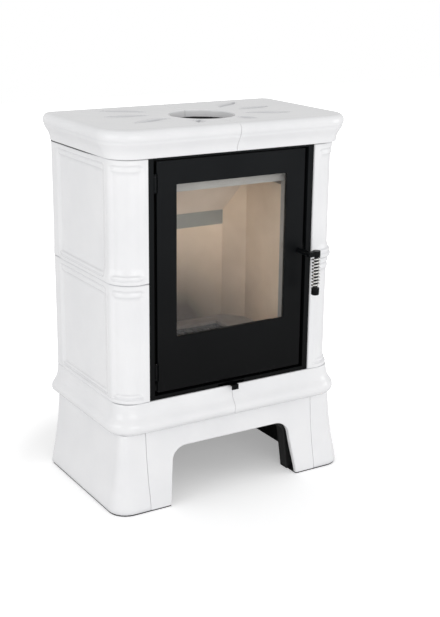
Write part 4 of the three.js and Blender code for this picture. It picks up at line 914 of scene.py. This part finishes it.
def cornice_half(name, mirror):
    corner, back_corner, start = CORNICE_CORNER, CORNICE_BACK_CORNER, JOINT / 2
    moulding = curve_through(CORNICE, 4)[::-1]
    moulding[:, 1] = np.minimum(moulding[:, 1], CORNICE_REACH)
    length = (
        HALF_WIDTH - corner - start + math.pi / 2 * corner + DEPTH - corner - back_corner
        + math.pi / 2 * back_corner + HALF_WIDTH - back_corner - start
    )
    runs = near_ends(length, 3.4)
    tuck = tucked(runs, CORNICE_SEAM) + tucked(length - runs, CORNICE_SEAM)
    edge_x, edge_y = walk(runs, 10.0, corner, start, back_corner)
    bearing = np.arctan2(edge_y - FLUE_CENTRE, edge_x)

    def ring(radius, level):
        x = np.maximum(radius * np.cos(bearing), start)
        return points(x, FLUE_CENTRE + radius * np.sin(bearing), level)

    rows = [ring(HOLE, SLAB_UNDERSIDE)]
    for turn in np.linspace(0, math.pi / 2, 6)[:-1]:
        level = STOVE_TOP - TOP_LIP - RIM * (1 - math.sin(turn))
        rows.append(ring(HOLE + RIM * (1 - math.cos(turn)), level - tuck))
    first = len(rows)
    rim_x, rim_y = ring(HOLE + RIM, STOVE_TOP)[:, :2].T
    shades = []
    for share in np.linspace(0, 1, 46):
        x = rim_x + (edge_x - rim_x) * share
        y = rim_y + (edge_y - rim_y) * share
        fall, shade = flute_fall(x, y)
        shades.append(shade)
        rows.append(points(x, y, STOVE_TOP - fall - tuck))
    top_rows = len(rows)
    for up, out in moulding[1:]:
        place = walk(runs, out - tuck, corner, start, back_corner)
        rows.append(points(*place, CORNICE_BASE + min(up, 64.0)))
    x, y = walk(runs, -CORNICE_WALL, corner, start, back_corner)
    y = np.minimum(y, DEPTH - CORNICE_WALL)
    back = np.stack([points(x, y, level) for level in (CORNICE_BASE, SLAB_UNDERSIDE)], axis=1)
    face = np.stack(rows, axis=1)
    # painted shade: in the flutes, in a halo round them, and in the moulding's groove
    painted_shade = np.zeros(face.shape[:2])
    sunk = STOVE_TOP - TOP_LIP - face[:, first:top_rows, 2]
    in_bowl = BOWL_SHADE * np.clip(sunk / FLUTE_DEPTH, 0, 1)
    painted_shade[:, first:top_rows] = np.maximum(in_bowl, NEAR_SHADE * np.stack(shades, axis=1))
    above_groove = face[:, top_rows:, 2] - CORNICE_BASE - CORNICE_GROOVE
    painted_shade[:, top_rows:] = GROOVE_SHADE * ridge(above_groove, 3.0)
    ceramic(name, face, back, painted_shade, mirror)


for side, mirror in HALVES:
    cornice_half(f"cornice_{side}", mirror)
print("cornice halves made")

# %% [markdown]
# A flat black gasket sits low in the flue hole. It keeps the hot pipe off the glaze, and from the
# front it is the dark crescent that shows through the hole.


# %% Flue gasket
def flue_gasket(inner, outer, low, high, sides=96, edge=0.4):
    section = [(inner, low), (inner, high - edge), (inner + edge, high)]
    section += [(outer - edge, high), (outer, high - edge), (outer, low)]
    loops = []
    for angle in [*angles_round(sides), 0.0]:
        loops.append([(r * math.cos(angle), FLUE_CENTRE + r * math.sin(angle), z) for r, z in section])
    stand_for("flue_gasket", skin("flue_gasket", loops, ends=False), sheet_paint, "stove")


flue_gasket(75.2, HOLE - 0.1, SLAB_UNDERSIDE + 0.2, SLAB_UNDERSIDE + 3.0)
print("flue gasket laid")

# %% [markdown]
# ## Studio
# The photograph was taken in a white studio: soft light from everywhere, a little more from the
# front, and a floor that fades to white. Strong lamps would burn the glaze out. The lamps are
# therefore kept at a level at which white glaze stays just under white, and the background's
# whiteness comes from its own colour for camera rays. One weak, narrow lamp looks in at the window.

# %% Floor, sky and lamps
FLOOR_SIZE = 14.0
floor_mesh = bpy.data.meshes.new("studio_floor")
corners = [(x * FLOOR_SIZE / 2, y * FLOOR_SIZE / 2, 0) for x, y in ((-1, -1), (1, -1), (1, 1), (-1, 1))]
floor_mesh.from_pydata(corners, [], [(0, 1, 2, 3)])
floor = bpy.data.objects.new("studio_floor", floor_mesh)
bpy.context.scene.collection.objects.link(floor)


def make_floor_finish(near=0.33, fade_from=0.45, fade_to=0.95):
    """White paper: its own light is low around the stove, so that shadows stay, and full further off."""
    material, tree, shader = new_finish("white_studio_floor", roughness=0.8)
    grain = between(tree, noise(tree, 3.0), (0.86, 0.86, 0.865), (0.88, 0.88, 0.88))
    tree.links.new(grain, shader.inputs["Base Color"])
    shader.inputs["Specular IOR Level"].default_value = 0.1
    distance = add_node(tree, "ShaderNodeVectorMath", {0: place_on_stove(tree)}, operation="LENGTH")
    glow = share_between(tree, distance.outputs["Value"], fade_from, fade_to, near)
    ray = add_node(tree, "ShaderNodeLightPath").outputs["Is Camera Ray"]
    white = add_node(tree, "ShaderNodeEmission", {"Strength": calculate(tree, "MULTIPLY", ray, glow)})
    both = add_node(tree, "ShaderNodeAddShader", {0: shader.outputs["BSDF"], 1: white.outputs["Emission"]})
    tree.links.new(both.outputs["Shader"], tree.nodes["Material Output"].inputs["Surface"])
    return material


floor_mesh.materials.append(make_floor_finish())


def make_sky(strength):
    """A sky that lights the stove with its strength, and looks plain white to the camera."""
    world = bpy.data.worlds.new("studio_sky")
    bpy.context.scene.world = world
    world.use_nodes = True
    tree = world.node_tree
    tree.nodes.clear()
    inputs = {"Fac": add_node(tree, "ShaderNodeLightPath").outputs["Is Camera Ray"]}
    for socket, power in ((1, strength), (2, 1.0)):
        sky = add_node(tree, "ShaderNodeBackground", {"Color": (1, 1, 1, 1), "Strength": power})
        inputs[socket] = sky.outputs["Background"]
    both = add_node(tree, "ShaderNodeMixShader", inputs)
    add_node(tree, "ShaderNodeOutputWorld", {"Surface": both.outputs["Shader"]})


def softbox(name, place, aim, size, power, spread=180.0):
    """An area lamp: its place, aim and size in metres, its power in watts, its spread in degrees."""
    lamp = bpy.data.lights.new(name, "AREA")
    lamp.shape = "RECTANGLE"
    lamp.size, lamp.size_y = size
    lamp.energy = power
    lamp.spread = math.radians(spread)
    holder = bpy.data.objects.new(name, lamp)
    holder.location = place
    holder.rotation_euler = (Vector(aim) - Vector(place)).to_track_quat("-Z", "Y").to_euler()
    bpy.context.scene.collection.objects.link(holder)


make_sky(strength=0.71)
softbox("softbox_front", (-0.4, -3.3, 1.1), (0, 0, 0.42), size=(2.6, 2.0), power=24)
softbox("softbox_left", (-3.0, -0.6, 1.2), (0, 0, 0.45), size=(1.8, 1.8), power=16)
softbox("softbox_right", (3.0, -1.6, 1.2), (0, 0, 0.45), size=(1.6, 1.6), power=15)
softbox("window_light", (-0.6, -2.2, 0.78), (0.06, 0.1, 0.55), size=(0.12, 0.12), power=0.085, spread=7.0)
print("studio lit")

# %% [markdown]
# ## The handle
# The handle is a steel rod with a coil of nickelled wire wound round it, so that it stays cool, held
# between a black eye and a black cap. Rings stacked on the rod would be quicker, but a wound wire
# climbs, and its highlights lean. So the wire is one unbroken tube along a helix, and the cap is
# turned on a lathe.

# %% Handle
HANDLE_X, HANDLE_Y = 204.0, -40.9
COIL_BOTTOM, COIL_LENGTH, COIL_CURLS = 485.3, 75.6, 9
COIL_RADIUS, WIRE = 7.8, 2.3


def coil_loops(steps_per_curl=28, sides=12):
    count = COIL_CURLS * steps_per_curl
    steps = np.arange(count + 1)
    turn = np.linspace(0, 2 * math.pi * COIL_CURLS, count + 1)
    climb = (COIL_LENGTH - 2 * WIRE) * steps / count
    end_fade = np.clip(np.minimum(steps, count - steps) / 3.0, 0.55, 1)
    around = angles_round(sides)
    out = COIL_RADIUS + np.outer(WIRE * end_fade, np.cos(around))
    up = COIL_BOTTOM + WIRE + climb[:, None] + np.outer(WIRE * end_fade, np.sin(around))
    return points(HANDLE_X + out * np.cos(turn)[:, None], HANDLE_Y + out * np.sin(turn)[:, None], up)


def turned(profile, x, y, sides=48):
    """Loops of a turned piece from its radius and height, closed on its axis."""
    around = angles_round(sides)
    loops = []
    for radius, level in profile:
        loops.append(points(x + radius * np.cos(around), y + radius * np.sin(around), level))
    return np.array(loops)


wire_mesh = skin("handle_wire", coil_loops())
stand_for("handle_wire", wire_mesh, nickel, "handle", ("handle_coil",))
CAP_TOP, CAP_HEIGHT = 485.0, 18.0
CAP_FOOT = CAP_TOP - CAP_HEIGHT
cap_profile = [(0.05, CAP_FOOT), (7.0, CAP_FOOT), (8.6, CAP_FOOT + 0.7), (9.5, CAP_FOOT + 2.2)]
for groove in (6.0, 10.5):
    groove_profile = [(9.6, -0.9), (8.9, -0.35), (8.9, 0.35), (9.6, 0.9)]
    cap_profile += [(radius, CAP_FOOT + groove + level) for radius, level in groove_profile]
cap_profile += [(9.6, CAP_TOP - 0.8), (9.0, CAP_TOP), (5.15, CAP_TOP)]
cap_mesh = skin("handle_end", turned(cap_profile, HANDLE_X, HANDLE_Y))
stand_for("handle_end_cap", cap_mesh, door_paint, "handle", ("handle_cap",))
dress(["handle_arm"], door_paint, edge=1.2)
print("handle wire has", COIL_CURLS, "curls at", round((COIL_LENGTH - 2 * WIRE) / COIL_CURLS, 2), "mm")

# %% [markdown]
# ## The rope in the door
# The rope is a soft braid pressed into a ring behind the door. The solid has a coarse oval section,
# so a finer ring with the same path stands for it, slightly squashed, with the weave in its finish.


# %% Door rope
ROPE_HALF, ROPE_LOW, ROPE_HIGH = 172.0, 290.0, 800.1


def fuller(wave):
    """A wave with fuller shoulders, which squares a circle a little."""
    return np.sign(wave) * np.abs(wave) ** 0.8


def rope_ring(half, low, high, corner=10.0, wide=10.0, deep=12.1, front=20.6, sides=20, per_corner=8):
    centres = [(half - corner, low + corner, 270), (half - corner, high - corner, 0)]
    centres += [(-half + corner, high - corner, 90), (-half + corner, low + corner, 180)]
    path = []
    for x, z, first in centres:
        for i in range(per_corner + 1):
            angle = math.radians(first + 90 * i / per_corner)
            outward_x, outward_z = math.cos(angle), math.sin(angle)
            path.append((x + corner * outward_x, z + corner * outward_z, outward_x, outward_z))
    around = angles_round(sides)
    out = wide / 2 * 0.98 * fuller(np.cos(around))
    depth = front + deep / 2 + deep / 2 * 0.92 * fuller(np.sin(around))
    loops = []
    for x, z, outward_x, outward_z in path + path[:1]:
        loops.append(points(x + outward_x * out, depth, z + outward_z * out))
    return np.array(loops)


rope_mesh = skin("door_rope", rope_ring(ROPE_HALF, ROPE_LOW, ROPE_HIGH), ends=False)
stand_for("door_rope_braid", rope_mesh, rope_weave, "door", ("door_rope",))
print("rope laid")

# %% [markdown]
# ## Screws
# Small button-head screws hold the glass strips, the flue collar and the rear shield. They are far
# too small for a solid of their own, but without them sheets seem glued on. One outline with a round
# socket is turned on a lathe, and each head then faces along the axis that its screw has.


# %% Screws
def screw_mesh(name, place, axis, radius):
    profile = [(0.02, 0.9), (1.0, 0.9), (1.25, 1.75), (0.55 * radius, 1.72), (0.85 * radius, 1.2)]
    profile += [(radius, 0.35), (radius, 0.02), (0.02, 0.02)]
    loops = turned(profile, 0.0, 0.0, sides=18)[::-1]
    turn = Vector((0, 0, 1)).rotation_difference(Vector(axis)).to_matrix()
    return skin(name, loops @ np.array(turn).T + np.array(place))


def screws(label, places, axis, body, finish, radius=3.2):
    for number, place in enumerate(places):
        name = f"{label}_{number}"
        stand_for(name, screw_mesh(name, place, axis, radius), finish, body)
    print(len(places), label)


CLIP_BACK = 22.1
clip_places = [(x, CLIP_BACK, z) for z in (386.5, 776.5) for x in (-100.0, 0.0, 100.0)]
screws("glass_strip_screw", clip_places, (0, 1, 0), "door", sheet_paint)
SHIELD_BACK = 341.0
shield_places = [(x, SHIELD_BACK, z) for x in (-190.0, 190.0) for z in (320.0, 540.0, 760.0)]
screws("rear_shield_screw", shield_places, (0, 1, 0), "stove", nickel, radius=4.0)
COLLAR_TOP, COLLAR_REACH = 814.5, 82.0
collar_places = []
for degrees in range(45, 360, 90):
    x = COLLAR_REACH * math.cos(math.radians(degrees))
    y = FLUE_CENTRE + COLLAR_REACH * math.sin(math.radians(degrees))
    collar_places.append((x, y, COLLAR_TOP))
screws("flue_collar_screw", collar_places, (0, 0, 1), "stove", sheet_paint)

# %% [markdown]
# ## Colour management
# The picture is shown with the Standard view, so that a colour renders about as it is written.

# %% Finish
bpy.context.scene.view_settings.view_transform = "Standard"
